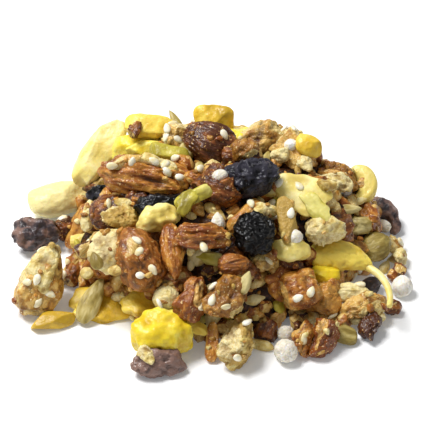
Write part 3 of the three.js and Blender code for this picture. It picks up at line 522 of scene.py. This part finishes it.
def carved(direction, item, breaks):
    """Carries a direction of the unit sphere to a piece's surface, about its own middle.

    Gives how deep in a dip the place is and how much of a bare break shows there as well.
    """
    form = FORMS[item["form"]]
    long, wide, thick = item["size"]
    power, phase = form["square"], item["phase"]
    reach = sum(abs(part) ** power for part in direction) ** (-1 / power)
    point = direction * reach * (1 + form["knobby"] * knobs(direction, phase))
    naked = 0
    for away, out, bare in breaks:
        past = point.dot(away)
        if past > out:
            point *= (out + BREAK_ROUND * (past - out)) / past
            naked = min(1, BREAK_EDGE * (past - out)) if bare else naked
    point *= FULLER if breaks else 1
    pointed = max(0, (point.x + 1) / 2) ** 2
    point.y *= 1 - form["taper"] * pointed
    point.z *= 1 - POINT_THINS * form["taper"] * pointed
    if "jag" in form:
        around = math.atan2(direction.y, direction.x)
        teeth = 1 + form["jag"] * sum(math.sin(n * around + n * phase) for n in FLAKE_TEETH) / 2
        point.x *= teeth
        point.y *= teeth
    if "grooves" in form:
        point.z *= 1 - form["grooves"] * abs(math.cos(NUT_GROOVES * point.y))
    point = Vector((point.x * long / 2, point.y * wide / 2, point.z * thick / 2))
    outward = Vector((point.x / long ** 2, point.y / wide ** 2, point.z / thick ** 2)).normalized()
    apart = Vector((RELIEF_APART[0] * phase, RELIEF_APART[1] * phase, 0))
    stands, dip = relief_at(point + apart, form["relief"])
    point += outward * stands * min(1, thick / THICK_ENOUGH)
    if "curl" in item:
        point = bent(point, long, math.radians(item["curl"]))
    return point, dip, naked


# ---- The heap's meshes: one for each kind ------------------------------------------------------

BALLS = {}


def ball_of(fine):
    """The points and faces of a unit ball, made once for each number of subdivisions."""
    if fine not in BALLS:
        mesh = bmesh.new()
        bmesh.ops.create_icosphere(mesh, subdivisions=fine, radius=1)
        faces = [[vert.index for vert in face.verts] for face in mesh.faces]
        BALLS[fine] = ([vert.co.normalized() for vert in mesh.verts], faces)
        mesh.free()
    return BALLS[fine]


class Kind:
    """All pieces of one tint, joined in one mesh.

    Each vertex knows how deep in a dip it lies, its piece's tone, how bare its break is and where
    it is on its own piece, so that the colours keep to the piece wherever it lies.
    """

    def __init__(self, tint):
        self.tint = tint
        self.nodes = []
        self.mesh = bmesh.new()
        self.dips = self.mesh.verts.layers.float.new("dip")
        self.tones = self.mesh.verts.layers.float.new("tone")
        self.bares = self.mesh.verts.layers.float.new("bare")
        self.alongs = self.mesh.verts.layers.float_vector.new("along")

    def ball(self, fine):
        """Adds a ball and gives its vertices."""
        points, faces = ball_of(fine)
        verts = [self.mesh.verts.new(point) for point in points]
        for face in faces:
            self.mesh.faces.new([verts[i] for i in face])
        return verts

    def put(self, vert, place, dip, tone, bare=0, along=None):
        vert.co = place
        vert[self.alongs] = (along or place) * MM
        vert[self.dips] = dip
        vert[self.tones] = tone
        vert[self.bares] = bare


kinds = {}


def kind_of(tint):
    if tint not in kinds:
        kinds[tint] = Kind(tint)
    return kinds[tint]


def fineness(item):
    by_length = next(fine for long, fine in FINENESS if item["size"][0] >= long)
    return FORMS[item["form"]].get("fine", by_length)


def add_piece(item, turn, place, fine=None):
    """Adds a carved piece to its kind. place is its middle, or a function of its lowest height."""
    kind = kind_of(item["tint"])
    breaks = breaks_of(item)
    tone = item.get("tone", random.Random(item["phase"] + 0.5).random())
    verts = kind.ball(fine or fineness(item))
    shape = [carved(vert.co.normalized(), item, breaks) for vert in verts]
    points = [turn @ point for point, _, _ in shape]
    if callable(place):
        place = place(min(point.z for point in points))
    apart = PATTERN_APART * item["phase"]
    for vert, point, (own, dip, bare) in zip(verts, points, shape):
        at = place + point
        at.z = max(at.z, 0)
        kind.put(vert, at, dip, tone, bare, own + apart)
    return place


def add_named(item):
    """Puts a piece on its sight line: against the core, so much nearer to the eye, or on the floor.

    Where pieces of two tints share a node, the tint of the first one stands for it.
    """
    line = sight_line(item["seen"])
    meets = sight_meets(line)
    if not any(item["node"] in other.nodes for other in kinds.values()):
        kind_of(item["tint"]).nodes.append(item["node"])

    def on_floor(lowest):
        return meets + line * ((lowest + meets.z + FLAT_SINK) / -line.z)

    place = on_floor if item.get("floor") else meets - line * item.get("near", 0)
    item["place"] = add_piece(item, turn_seen(item), place)


def along_stalk(share):
    """A point of the stalk's middle line and its direction, at a share of its length."""
    fruit = next(item for item in PIECES if item["node"] == STALK["node"])
    far = (fruit["place"] - EYE).length
    knots = [
        EYE + sight_line(seen) * (far - i * STALK["droop"]) for i, seen in enumerate(STALK["seen"])
    ]
    knots = [2 * knots[0] - knots[1], *knots, 2 * knots[-1] - knots[-2]]
    step = min(int(share * (len(knots) - 3)), len(knots) - 4)
    t = share * (len(knots) - 3) - step
    a, b, c, d = knots[step:step + 4]
    square, cube = 2 * a - 5 * b + 4 * c - d, 3 * b - a - 3 * c + d
    point = 0.5 * (2 * b + (c - a) * t + square * t ** 2 + cube * t ** 3)
    ahead = 0.5 * ((c - a) + 2 * square * t + 3 * cube * t ** 2)
    return point, ahead.normalized()


def add_stalk():
    """Draws a ball out along the stalk: its poles become the round ends."""
    kind = kind_of(STALK["tint"])
    for vert in kind.ball(STALK["fine"]):
        across = Vector((vert.co.y, vert.co.z))
        share = 0.5 + 0.5 * max(-1, min(1, STALK["pole"] * vert.co.x))
        middle, ahead = along_stalk(share)
        side = ahead.cross(TOWARD).normalized()
        around = across.normalized() if across.length > 0.01 else across
        rounded = min(1, STALK["round"] * across.length)
        thick = STALK["thick"] / 2 * rounded * (STALK["foot"] - STALK["thins"] * share)
        place = middle + (side * around.x + side.cross(ahead) * around.y) * thick
        kind.put(vert, place, STALK["dip"], STALK["tone"])


def crosses(place, size):
    """Whether a piece of a size would cross one of the named pieces."""
    for other in PIECES:
        room = (other["size"][0] + other["size"][1] + size[0] + size[1]) / FILL["close"]
        if (other["place"] - place).length < room:
            return True
    return False


def add_fill(number):
    """A piece of the rule that covers the core."""
    share = ((number + 0.5) / FILL["count"]) ** FILL["spread"]
    angle = FILL["turn"] * number
    reach = share * rim_reach(angle)
    x = CORE["peak"][0] + reach * math.cos(angle)
    y = CORE["peak"][1] + reach * math.sin(angle)
    form, tint, size = FILL_KINDS[number % len(FILL_KINDS)]
    place = Vector((x, y, core_height(x, y)))
    if crosses(place, size):
        return
    size = [side * (1 + FILL["vary"] * math.sin(number)) for side in size]
    if y < FRUIT_BEHIND:
        tint = NUT_TINTS.get(tint, tint)
    faces = core_faces(x, y)
    place += faces * FILL["sunk"] * size[2]
    item = {"form": form, "tint": tint, "size": size, "phase": number}
    add_piece(item, turn_onto(faces, FILL["spin"] * number), place)


def add_core():
    """A dome drawn out to the rim, with crumbs in relief."""
    kind = kind_of("crumbs")
    kind.nodes.append("granola_heap")
    for vert in kind.ball(CORE_FINE):
        direction = vert.co.normalized()
        angle = math.atan2(direction.y, direction.x)
        share = math.hypot(direction.x, direction.y)
        reach = share * rim_reach(angle)
        x = CORE["peak"][0] + reach * math.cos(angle)
        y = CORE["peak"][1] + reach * math.sin(angle)
        if direction.z <= 0:
            # its flat underside takes the full painted shade of a dip
            kind.put(vert, Vector((x, y, 0)), 1, CORE_TONE)
            continue
        place = Vector((x, y, dome_height(share)))
        stands, dip = relief_at(place, CORE_RELIEF)
        place += core_faces(x, y) * (stands + CORE_SWELL) * min(1, CORE_FOOT * direction.z)
        place.z = max(place.z, 0)
        kind.put(vert, place, dip, CORE_TONE)


# ---- Loose scatter: crumbs in the gaps and seeds on the sticky pieces --------------------------

CRUMB_KINDS = (
    # form, tint, share of the crumbs, least and most length, width and thickness as shares of it
    ("crumb", "honey", 0.2, 4, 8, 0.7, 0.6),
    ("crumb", "amber", 0.26, 4, 8, 0.72, 0.62),
    ("crumb", "brown", 0.28, 4, 8, 0.72, 0.62),
    ("crumb", "cream", 0.08, 3.6, 7, 0.7, 0.6),
    ("kernel", "grey_green", 0.06, 5, 7.5, 0.5, 0.34),
    ("kernel", "cream", 0.07, 4.6, 6.6, 0.52, 0.36),
    ("crumb", "green", 0.05, 4, 7, 0.6, 0.45),
    ("puff", "white", 0.02, 3.6, 5.2, 0.95, 0.9),
)
CRUMBS = {
    "lines": 3600,  # lines that are tried from all round
    "phase": 0.37,  # the relief of each differs from the last one's by this
    "lean": 0.35,  # how unevenly they lie
    "sunk": 0.2,  # share of their thickness that their middle lies above the core
    "crowded": 3,  # those nearer than this to one another are left out
}
GRIT = {
    "lines": 2400,
    "phase": 0.61,  # as for the crumbs
    "long": (1.2, 2.8),
    "wide": 0.75,  # share of its length, as is its thickness
    "thick": 0.65,
    "share": 0.12,  # how much of it stays on the pieces themselves
}
GRIT_TINTS = {  # the tints of the grit that lies on each tint
    "crumbs": ("honey", "amber", "amber", "brown", "brown", "cream"),
    "brown": ("amber", "honey"),
    "amber": ("honey", "cream"),
    "honey": ("cream", "amber"),
    "cream": ("cream", "honey"),
}
SEEDS = {
    "lines": 420,
    "behind": 18,  # past this plan line the sticky pieces are covered
    "share": 0.12,  # how many fall in front, besides those that are listed
    "out": 0.3,  # how far out of the surface their middle lies
}
STICKY = ("honey", "brown", "amber", "cream")
SCATTER_FINE = 2  # subdivisions of crumbs and grit, a few dozen faces each
FOOT = 0.6  # no crumb lies lower than this
LINES = {
    "from": 200,  # they start so far away
    "reach": 48,  # and aim at places within this distance of the middle
    "high": 24,  # up to this height
    "low_each": 3,  # each third one comes from low down
    "low_high": 8,  # and aims no higher than this at the foot
    "flattest": 0.05,  # sine of how steeply the flattest line comes
    "low_steepest": 0.4,
}


def trees():
    """What a sight line can meet, for each kind."""
    for kind in kinds.values():
        kind.mesh.normal_update()
    return {tint: BVHTree.FromBMesh(kind.mesh) for tint, kind in kinds.items()}


def first_met(solids, start, line):
    """The nearest tint that a line meets, with the place and the way it faces there."""
    best = None
    for tint, tree in solids.items():
        place, faces, _, distance = tree.ray_cast(start, line)
        if place is not None and (best is None or distance < best[3]):
            best = (tint, place, faces, distance)
    return best


def add_stuck(solids, item, along):
    """Sticks a bit where its sight line first meets a shape, or else the floor.

    What lies along the surface needs a shape to lie on.
    """
    line = sight_line(item["seen"])
    lift = line * item.get("lift", 0)
    met = first_met(solids, EYE, line)
    if met:
        turn = turn_onto(met[2], item.get("spin", 0)) if along else turn_seen(item)
        item["place"] = add_piece(item, turn, met[1] - lift)
        return
    if along:
        return

    def on_floor(lowest):
        return EYE + line * ((lowest + EYE.z + FLAT_SINK) / -line.z)

    behind = on_floor(0).y > CORE["peak"][1]
    add_piece(item, turn_seen(item), sight_meets(line) - lift if behind else on_floor)


def pointing(angle, height):
    """A direction by its angle in plan and its height."""
    return Vector((
        math.cos(angle) * math.cos(height),
        math.sin(angle) * math.cos(height),
        math.sin(height),
    ))


def random_lines(draw, count):
    """Lines from all round towards the heap, each third one low down towards its foot."""
    for number in range(count):
        low = number % LINES["low_each"] == 0
        angle = draw.uniform(0, 2 * math.pi)
        steepest = LINES["low_steepest"] if low else 1
        away = pointing(angle, math.asin(draw.uniform(LINES["flattest"], steepest)))
        reach = math.sqrt(draw.random()) * LINES["reach"]
        around = draw.uniform(0, 2 * math.pi)
        high = draw.uniform(0, LINES["high"])
        aim = Vector((reach * math.cos(around), reach * math.sin(around), high))
        if low:
            aim.x, aim.y = away.x * LINES["reach"], away.y * LINES["reach"]
            aim.z = draw.uniform(0, LINES["low_high"])
        yield aim + away * LINES["from"], -away


def scatter_crumbs(solids):
    """Fills the gaps, where the core would show, with broken bits. No puffed grain is in front."""
    draw = random.Random(SEED)
    shares = [row[2] for row in CRUMB_KINDS]
    placed = [item["place"] for item in BITS if "place" in item]
    for number, (start, line) in enumerate(random_lines(draw, CRUMBS["lines"])):
        met = first_met(solids, start, line)
        form, tint, _, least, most, wide, thick = draw.choices(CRUMB_KINDS, shares)[0]
        long = draw.uniform(least, most)
        spin = draw.uniform(0, 360)
        lean = Vector([draw.gauss(0, CRUMBS["lean"]) for _ in range(3)])
        if not met or met[0] != "crumbs" or met[1].z < FOOT:
            continue
        if tint == "white" and met[1].y < FRUIT_BEHIND:
            continue
        if any((other - met[1]).length < CRUMBS["crowded"] for other in placed):
            continue
        placed.append(met[1])
        size = (long, long * wide, long * thick)
        item = {"form": form, "tint": tint, "size": size, "phase": CRUMBS["phase"] * number}
        turn = turn_onto((met[2] + lean).normalized(), spin)
        add_piece(item, turn, met[1] + met[2] * CRUMBS["sunk"] * long * thick, SCATTER_FINE)


def scatter_grit(solids):
    """Fine crumbs, stuck on the nuts and in the gaps between them."""
    draw = random.Random(SEED + 2)
    for number, (start, line) in enumerate(random_lines(draw, GRIT["lines"])):
        met = first_met(solids, start, line)
        tint = draw.choice(GRIT_TINTS[met[0]] if met and met[0] in GRIT_TINTS else STICKY)
        long = draw.uniform(*GRIT["long"])
        spin = draw.uniform(0, 360)
        sparse = met and met[0] != "crumbs" and draw.random() > GRIT["share"]
        if met and met[0] in GRIT_TINTS and met[1].z > FOOT and not sparse:
            size = (long, GRIT["wide"] * long, GRIT["thick"] * long)
            item = {"form": "crumb", "tint": tint, "size": size, "bare": 0}
            item["phase"] = GRIT["phase"] * number
            add_piece(item, turn_onto(met[2], spin), met[1], SCATTER_FINE)


def scatter_seeds(solids):
    """Loose sesame seeds on the sticky pieces, most of them at the back."""
    draw = random.Random(SEED + 1)
    for number, (start, line) in enumerate(random_lines(draw, SEEDS["lines"])):
        met = first_met(solids, start, line)
        spin = draw.uniform(0, 360)
        sticky = met and met[0] in STICKY
        if sticky and (met[1].y > SEEDS["behind"] or draw.random() < SEEDS["share"]):
            item = {**SESAME, "phase": number}
            add_piece(item, turn_onto(met[2], spin), met[1] + met[2] * SEEDS["out"])


# ---- Materials ---------------------------------------------------------------------------------

PATCH_STOPS = (0.36, 0.5, 0.64)  # where the patches are deep, middle and light in colour
TONE_REACH = 0.3  # how far a piece's tone shifts its patches from deep to light
BROKEN_STOPS = (0.35, 0.65)  # where the grain gives a break its first and its second colour
RAGGED = (1.2, -0.5)  # how far the patches eat into the edge of a break
BROKEN_EDGE = (0.5, 0.8)
SPECK_MM = 0.7  # crystals and dust are finer than this, and are drawn so coarse to show
SPECK_EDGE = (0.63, 0.7)
DIP_SHADE_EDGE = (0.5, 1.0)  # dips deeper than the first begin to darken with painted shade
ROUGH_SPREAD = 0.15
COARSER = 3  # the coarser bumps are so much wider than the finest
FINE_SHARE = 0.35  # and the finest stand out by this share of them
BUMP_HIGH = 2  # in widths of the grain
FOOD_IOR = 1.45
COAT_ROUGH = 0.18  # dried syrup is smooth, but not like glass
FLESH_RADII = (1.0, 0.8, 0.45)  # red light goes furthest through the flesh
FLESH_MM = 1.2


def linear(hex_colour):
    """An sRGB hex colour as linear RGBA."""
    parts = [int(hex_colour[i:i + 2], 16) / 255 for i in (1, 3, 5)]
    light = [part / 12.92 if part <= 0.04045 else ((part + 0.055) / 1.055) ** 2.4 for part in parts]
    return (*light, 1)


def add(tree, kind, settings=(), **links):
    """Adds a node with its settings and the links to its inputs. Inputs go by name or number."""
    node = tree.nodes.new(kind)
    for name, value in dict(settings).items():
        if isinstance(name, str) and hasattr(node, name):
            setattr(node, name, value)
        else:
            node.inputs[name].default_value = value
    for name, source in links.items():
        key = int(name[1:]) if name[0] == "i" and name[1:].isdigit() else name.replace("_", " ")
        tree.links.new(source, node.inputs[key])
    return node


def ramp(tree, source, places, colours):
    """A colour ramp of hex colours at shares from 0 to 1."""
    node = add(tree, "ShaderNodeValToRGB", Fac=source)
    elements = node.color_ramp.elements
    while len(elements) < len(places):
        elements.new(0.5)
    for element, place, colour in zip(elements, places, colours):
        element.position = place
        element.color = linear(colour)
    return node.outputs["Color"]


def kept(tree, name):
    """A number that each vertex of the mesh keeps."""
    return add(tree, "ShaderNodeAttribute", {"attribute_name": name}).outputs["Fac"]


def between(tree, source, edge):
    """0 up to the first end of an edge and 1 past its second end."""
    ends = {"From Min": edge[0], "From Max": edge[1]}
    return add(tree, "ShaderNodeMapRange", ends, Value=source).outputs["Result"]


def over(tree, share, under, colour):
    """A colour laid over another by a share: a hex colour, or what a node gives."""
    if isinstance(colour, str):
        settings, links = {"data_type": "RGBA", 7: linear(colour)}, {}
    else:
        settings, links = {"data_type": "RGBA"}, {"i7": colour}
    return add(tree, "ShaderNodeMix", settings, i0=share, i6=under, **links).outputs[2]


def patched(tree, patches, tints):
    """Patches of a piece's deep, middle and light colours, shifted by its tone."""
    shift = {"operation": "MULTIPLY_ADD", 1: TONE_REACH, 2: -TONE_REACH / 2}
    shifted = add(tree, "ShaderNodeMath", shift, i0=kept(tree, "tone")).outputs[0]
    mixed = add(tree, "ShaderNodeMath", {"operation": "ADD"}, i0=patches, i1=shifted)
    return ramp(tree, mixed.outputs[0], PATCH_STOPS, tints)


def with_breaks(tree, under, patches, fine, broken):
    """The inside of a nut in two colours, where a bare break shows it."""
    eaten = {"operation": "MULTIPLY_ADD", 1: RAGGED[0], 2: RAGGED[1]}
    ragged = add(tree, "ShaderNodeMath", eaten, i0=patches).outputs[0]
    inside = add(tree, "ShaderNodeMath", {"operation": "ADD"}, i0=kept(tree, "bare"), i1=ragged)
    naked = between(tree, inside.outputs[0], BROKEN_EDGE)
    return over(tree, naked, under, ramp(tree, fine, BROKEN_STOPS, broken))


def with_specks(tree, under, along, specks):
    """Crystals of sugar and nut dust, stuck to the glaze."""
    dots = add(tree, "ShaderNodeTexNoise", {"Scale": 1 / (SPECK_MM * MM)}, Vector=along)
    return over(tree, between(tree, dots.outputs["Fac"], SPECK_EDGE), under, specks)


def bumped(tree, place, fine, grain_mm, grain):
    """A fine grain with one a few times coarser below it."""
    scale = 1 / (COARSER * grain_mm * MM)
    coarse = add(tree, "ShaderNodeTexNoise", {"Scale": scale, "Detail": 3.0}, Vector=place)
    heights = add(tree, "ShaderNodeMath", {"operation": "MULTIPLY_ADD", 1: FINE_SHARE},
                  i0=fine, i2=coarse.outputs["Fac"])
    high = {"Strength": grain, "Distance": BUMP_HIGH * grain_mm * MM}
    return add(tree, "ShaderNodeBump", high, Height=heights.outputs[0]).outputs["Normal"]


def food(name, tints, patch_mm, rough, glaze=0.0, gloss=0.4, flesh=0.0, grain_mm=0.5, grain=0.5,
         stretch=1.0, broken=None, specks=None):
    """Uneven food: patches from deep to light, darker in its dips with painted shade, with a fine grain.

    tints: its deep, middle and light colours, and the colour of the painted shade in its dips. patch_mm:
    how wide its patches are. glaze: how thick its gloss is. gloss: how much the surface under it
    reflects. flesh: how much light passes through. grain_mm and grain: how wide and how strong its finest
    bumps are.
    stretch: how far the patches are drawn out along each piece. broken: the two colours of its bare
    breaks. specks: the colour of the grains stuck to it.
    """
    material = bpy.data.materials.new(name)
    material.use_nodes = True
    tree = material.node_tree
    along = add(tree, "ShaderNodeAttribute", {"attribute_name": "along"}).outputs["Vector"]
    drawn_out = {"Scale": (1 / stretch, 1, 1)}
    place = add(tree, "ShaderNodeMapping", drawn_out, Vector=along).outputs["Vector"]
    wide = {"Scale": 1 / (patch_mm * MM), "Detail": 4.0}
    patches = add(tree, "ShaderNodeTexNoise", wide, Vector=place).outputs["Fac"]
    narrow = {"Scale": 1 / (grain_mm * MM), "Detail": 3.0}
    fine = add(tree, "ShaderNodeTexNoise", narrow, Vector=place).outputs["Fac"]

    colour = patched(tree, patches, tints[:3])
    if broken:
        colour = with_breaks(tree, colour, patches, fine, broken)
    if specks:
        colour = with_specks(tree, colour, along, specks)
    # painted shade: the deeper a place lies in a dip, the more it takes the dark dip colour; under honey
    # this also stands for syrup gathered there
    colour = over(tree, between(tree, kept(tree, "dip"), DIP_SHADE_EDGE), colour, tints[3])
    spread = {"To Min": rough - ROUGH_SPREAD, "To Max": rough + ROUGH_SPREAD}
    uneven = add(tree, "ShaderNodeMapRange", spread, Value=fine).outputs["Result"]
    bumps = bumped(tree, place, fine, grain_mm, grain)

    shader = tree.nodes["Principled BSDF"]
    tree.links.new(colour, shader.inputs["Base Color"])
    tree.links.new(uneven, shader.inputs["Roughness"])
    tree.links.new(bumps, shader.inputs["Normal"])
    tree.links.new(bumps, shader.inputs["Coat Normal"])
    shader.inputs["IOR"].default_value = FOOD_IOR
    shader.inputs["Coat Weight"].default_value = glaze
    shader.inputs["Coat Roughness"].default_value = COAT_ROUGH
    shader.inputs["Specular IOR Level"].default_value = gloss
    shader.inputs["Subsurface Weight"].default_value = flesh
    shader.inputs["Subsurface Radius"].default_value = FLESH_RADII
    shader.inputs["Subsurface Scale"].default_value = FLESH_MM * MM
    return material


def dried_fruit(name, *tints):
    """Sugared fruit, cut and dried: light goes into its flesh, and its skin is satin and sticky."""
    return food(name, tints, patch_mm=5, rough=0.42, glaze=0.15, flesh=0.3, grain_mm=0.7, grain=0.3)


def dried_mango_yellow():
    """Ripe mango that was dried soft: an even, clear yellow, paler where sugar dried on it."""
    return dried_fruit("dried_mango_yellow", "#e6c824", "#f2d838", "#f8e86a", "#d8b224")


def dried_mango_pale():
    """Paler, drier fruit: nearly cream where it is thin, and dull yellow in its folds with painted shade."""
    return dried_fruit("dried_mango_pale", "#e2cb68", "#f1de84", "#f6e8a4", "#c2a54c")


def dried_fruit_gold():
    """Fruit that browned as it dried: deep gold, less clear than the mango."""
    return dried_fruit("dried_fruit_gold", "#c49f28", "#e6be34", "#f3d85e", "#a07c1e")


def candied_fruit_green():
    """Candied peel: green-yellow, clear at its edges, and olive in its folds with painted shade."""
    return dried_fruit("candied_fruit_green", "#a89a2e", "#c6b944", "#e0d57c", "#6e5c16")


def dried_fruit_purple():
    """Red raisin skin, shrunk over its flesh: brown-violet, dull on its ridges, black in its creases with
    painted shade.
    """
    return food("dried_fruit_purple", ("#261d20", "#453739", "#86685c", "#130c0d"),
                patch_mm=3, rough=0.42, glaze=0.35, grain_mm=0.7, grain=0.5)


def dried_berry_skin():
    """Blueberry and raisin skin, dried to fine wrinkles: black, with grey-blue patches that are partly a
    bloom of wax and partly painted sheen, and small sharp lights along the wrinkles.
    """
    # the grey-blue light colour is partly wax bloom and partly painted sheen
    return food("dried_berry_skin", ("#020101", "#070506", "#36343e", "#010000"),
                patch_mm=3, rough=0.32, glaze=0.4, gloss=0.1, grain_mm=0.8, grain=0.5)


def glazed_nut_skin():
    """Roasted almond and walnut skin under thin honey: red-brown streaks along the nut, cream breaks
    and spots of gloss.
    """
    return food("glazed_nut_skin", ("#4c240a", "#7a4114", "#a86826", "#260f04"),
                patch_mm=1.8, rough=0.42, glaze=0.45, gloss=0.3, grain_mm=0.45, grain=0.85,
                stretch=4, broken=("#c09444", "#e2c67c"), specks="#d6ac68")


def honeyed_nut_meat():
    """Broken nut meat that honey ran over and set on: cream breaks, hollows darkened both by honey set there
    and by painted shade, wet-looking.
    """
    return food("honeyed_nut_meat", ("#94601e", "#bf8a38", "#deb664", "#542a0a"),
                patch_mm=2.2, rough=0.42, glaze=0.45, gloss=0.3, flesh=0.1, grain_mm=0.45, grain=0.85,
                broken=("#dab764", "#f0dc9c"), specks="#ead49a")


def caramelised_nut():
    """Nuts boiled in sugar till it browned: clear orange-brown, glossy, with pale dust stuck to it."""
    return food("caramelised_nut", ("#854510", "#b47228", "#d69c44", "#401c08"),
                patch_mm=2, rough=0.4, glaze=0.5, gloss=0.3, flesh=0.12, grain_mm=0.45, grain=0.85,
                stretch=2, broken=("#cc9440", "#e6c074"), specks="#e6c182")


def bare_nut_meat():
    """Nut meat and sunflower kernels without skin or honey: cream, matte and a little oily."""
    return food("bare_nut_meat", ("#bd9a4c", "#dcc476", "#efdfa4", "#83581f"),
                patch_mm=2, rough=0.5, glaze=0.2, gloss=0.3, flesh=0.15, grain=0.75,
                broken=("#dcc480", "#f0e2b0"))


def pumpkin_seed_skin():
    """The thin skin of hulled pumpkin seeds: grey-green streaks along the seed, satin."""
    return food("pumpkin_seed_skin", ("#887436", "#b09c56", "#d0c084", "#574818"),
                patch_mm=2, rough=0.46, glaze=0.1, gloss=0.3, stretch=3)


def puffed_grain():
    """Grain blown up to a dry foam: off-white, dull and finely pitted, with a soft glow inside."""
    return food("puffed_grain", ("#e2dac6", "#eee8da", "#f8f5ee", "#c4b89c"),
                patch_mm=1.2, rough=0.7, flesh=0.3, grain=0.8)


def sesame_seed_coat():
    """The smooth coat of hulled sesame: ivory, with a soft oily shine."""
    return food("sesame_seed_coat", ("#e8d8a8", "#f3eaca", "#faf5e2", "#c4a462"),
                patch_mm=2, rough=0.38, glaze=0.2, flesh=0.15, grain=0.2)


def sticky_crumbs_painted_shade():
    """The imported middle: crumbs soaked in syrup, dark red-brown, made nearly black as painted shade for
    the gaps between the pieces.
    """
    # painted shade: the core shows only in the gaps, and these near-black colours stand in for the shade
    # there
    return food("sticky_crumbs_painted_shade", ("#170803", "#331606", "#6a3d14", "#0a0301"),
                patch_mm=2, rough=0.42, glaze=0.3, gloss=0.3, grain_mm=0.6, grain=0.8)


KINDS = {  # for each tint: the name of its piece in the scene, its slot and its material
    "yellow": ("mango_pieces", "mango_yellow", dried_mango_yellow),
    "pale_yellow": ("pale_fruit_pieces", "mango_pale", dried_mango_pale),
    "gold": ("golden_fruit_pieces", "fruit_gold", dried_fruit_gold),
    "green": ("green_fruit_pieces", "fruit_green", candied_fruit_green),
    "purple": ("purple_fruit", "fruit_purple", dried_fruit_purple),
    "black": ("dark_berries", "berry_skin", dried_berry_skin),
    "brown": ("brown_nuts", "nut_skin", glazed_nut_skin),
    "honey": ("honeyed_nuts", "nut_honey", honeyed_nut_meat),
    "amber": ("caramel_nuts", "caramel", caramelised_nut),
    "cream": ("pale_nuts", "nut_cream", bare_nut_meat),
    "grey_green": ("pumpkin_seeds", "seed_green", pumpkin_seed_skin),
    "white": ("puffed_grains", "puffed_grain", puffed_grain),
    "sesame": ("sesame_seeds", "nut_cream", sesame_seed_coat),
    "crumbs": ("heap_core", "granola_crumbs", sticky_crumbs_painted_shade),
}


def finish(kind):
    """Makes a kind's object in the scene, in metres, with its material and its place in the frame."""
    name, slot, material = KINDS[kind.tint]
    mesh = bpy.data.meshes.new(name)
    bmesh.ops.transform(kind.mesh, matrix=Matrix.Scale(MM, 4), verts=kind.mesh.verts)
    for face in kind.mesh.faces:
        face.smooth = True
    kind.mesh.to_mesh(mesh)
    kind.mesh.free()
    mesh.materials.append(material())
    made = bpy.data.objects.new(name, mesh)
    bpy.context.scene.collection.objects.link(made)
    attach(made, "root")
    if kind.nodes:
        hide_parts(*kind.nodes)


# ---- The set: floor, light and camera ----------------------------------------------------------

FLOOR_HALF = 3  # metres
PAPER = {
    "Base Color": (0.9, 0.9, 0.9, 1),
    "Roughness": 0.9,
    "Specular IOR Level": 0,
    "Emission Color": (0.86, 0.93, 1, 1),  # it glows a little, so that its shadows are bluish
    "Emission Strength": 0.1,
}
WORLD_LIGHT = 0.33
KEY_LIGHT = {"place": (-0.36, 0.15, 0.8), "size": 0.34, "power": 9.3}  # metres and watts
SENSOR_MM = 36
NEAREST_SEEN = 0.01  # metres


def add_floor():
    """White paper, matte and without end."""
    plane = bmesh.new()
    bmesh.ops.create_grid(plane, x_segments=1, y_segments=1, size=FLOOR_HALF)
    mesh = bpy.data.meshes.new("floor")
    plane.to_mesh(mesh)
    plane.free()
    white = bpy.data.materials.new("white_paper")
    white.use_nodes = True
    shader = white.node_tree.nodes["Principled BSDF"]
    for name, value in PAPER.items():
        shader.inputs[name].default_value = value
    mesh.materials.append(white)
    floor = bpy.data.objects.new("floor", mesh)
    bpy.context.scene.collection.objects.link(floor)


def add_key_light():
    """A square soft light, high up on the left and a little behind, that faces the heap."""
    data = bpy.data.lights.new("key_light", "AREA")
    data.size = KEY_LIGHT["size"]
    data.energy = KEY_LIGHT["power"]
    light = bpy.data.objects.new("key_light", data)
    light.location = KEY_LIGHT["place"]
    light.rotation_euler = (-light.location).to_track_quat("-Z", "Y").to_euler()
    bpy.context.scene.collection.objects.link(light)


def add_world():
    world = bpy.data.worlds.new("studio")
    world.use_nodes = True
    background = world.node_tree.nodes["Background"]
    background.inputs["Color"].default_value = (1, 1, 1, 1)
    background.inputs["Strength"].default_value = WORLD_LIGHT
    bpy.context.scene.world = world


def add_camera():
    data = bpy.data.cameras.new("camera")
    data.sensor_width = SENSOR_MM
    data.lens = SENSOR_MM * SIGHT_DISTANCE / SEEN_WIDTH
    data.clip_start = NEAREST_SEEN
    camera = bpy.data.objects.new("camera", data)
    turn = Matrix((RIGHT, UP, TOWARD)).transposed().to_4x4()
    camera.matrix_world = Matrix.Translation(EYE * MM) @ turn
    bpy.context.scene.collection.objects.link(camera)
    bpy.context.scene.camera = camera


# ---- Making it all -----------------------------------------------------------------------------


def make_heap():
    for item in PIECES:
        add_named(item)
    add_stalk()
    add_core()
    for number in range(FILL["count"]):
        add_fill(number)
    solids = trees()
    for item in BITS:
        add_stuck(solids, item, along=False)
    scatter_crumbs(solids)
    scatter_grit(trees())
    solids = trees()
    for number, seen in enumerate(SESAME_SEEN):
        item = {**SESAME, "seen": seen, "spin": SESAME_SPIN * number, "phase": number}
        add_stuck(solids, item, along=True)
    scatter_seeds(solids)
    for kind in kinds.values():
        finish(kind)


make_heap()
add_floor()
add_world()
add_key_light()
add_camera()
bpy.context.scene.view_settings.view_transform = "Standard"
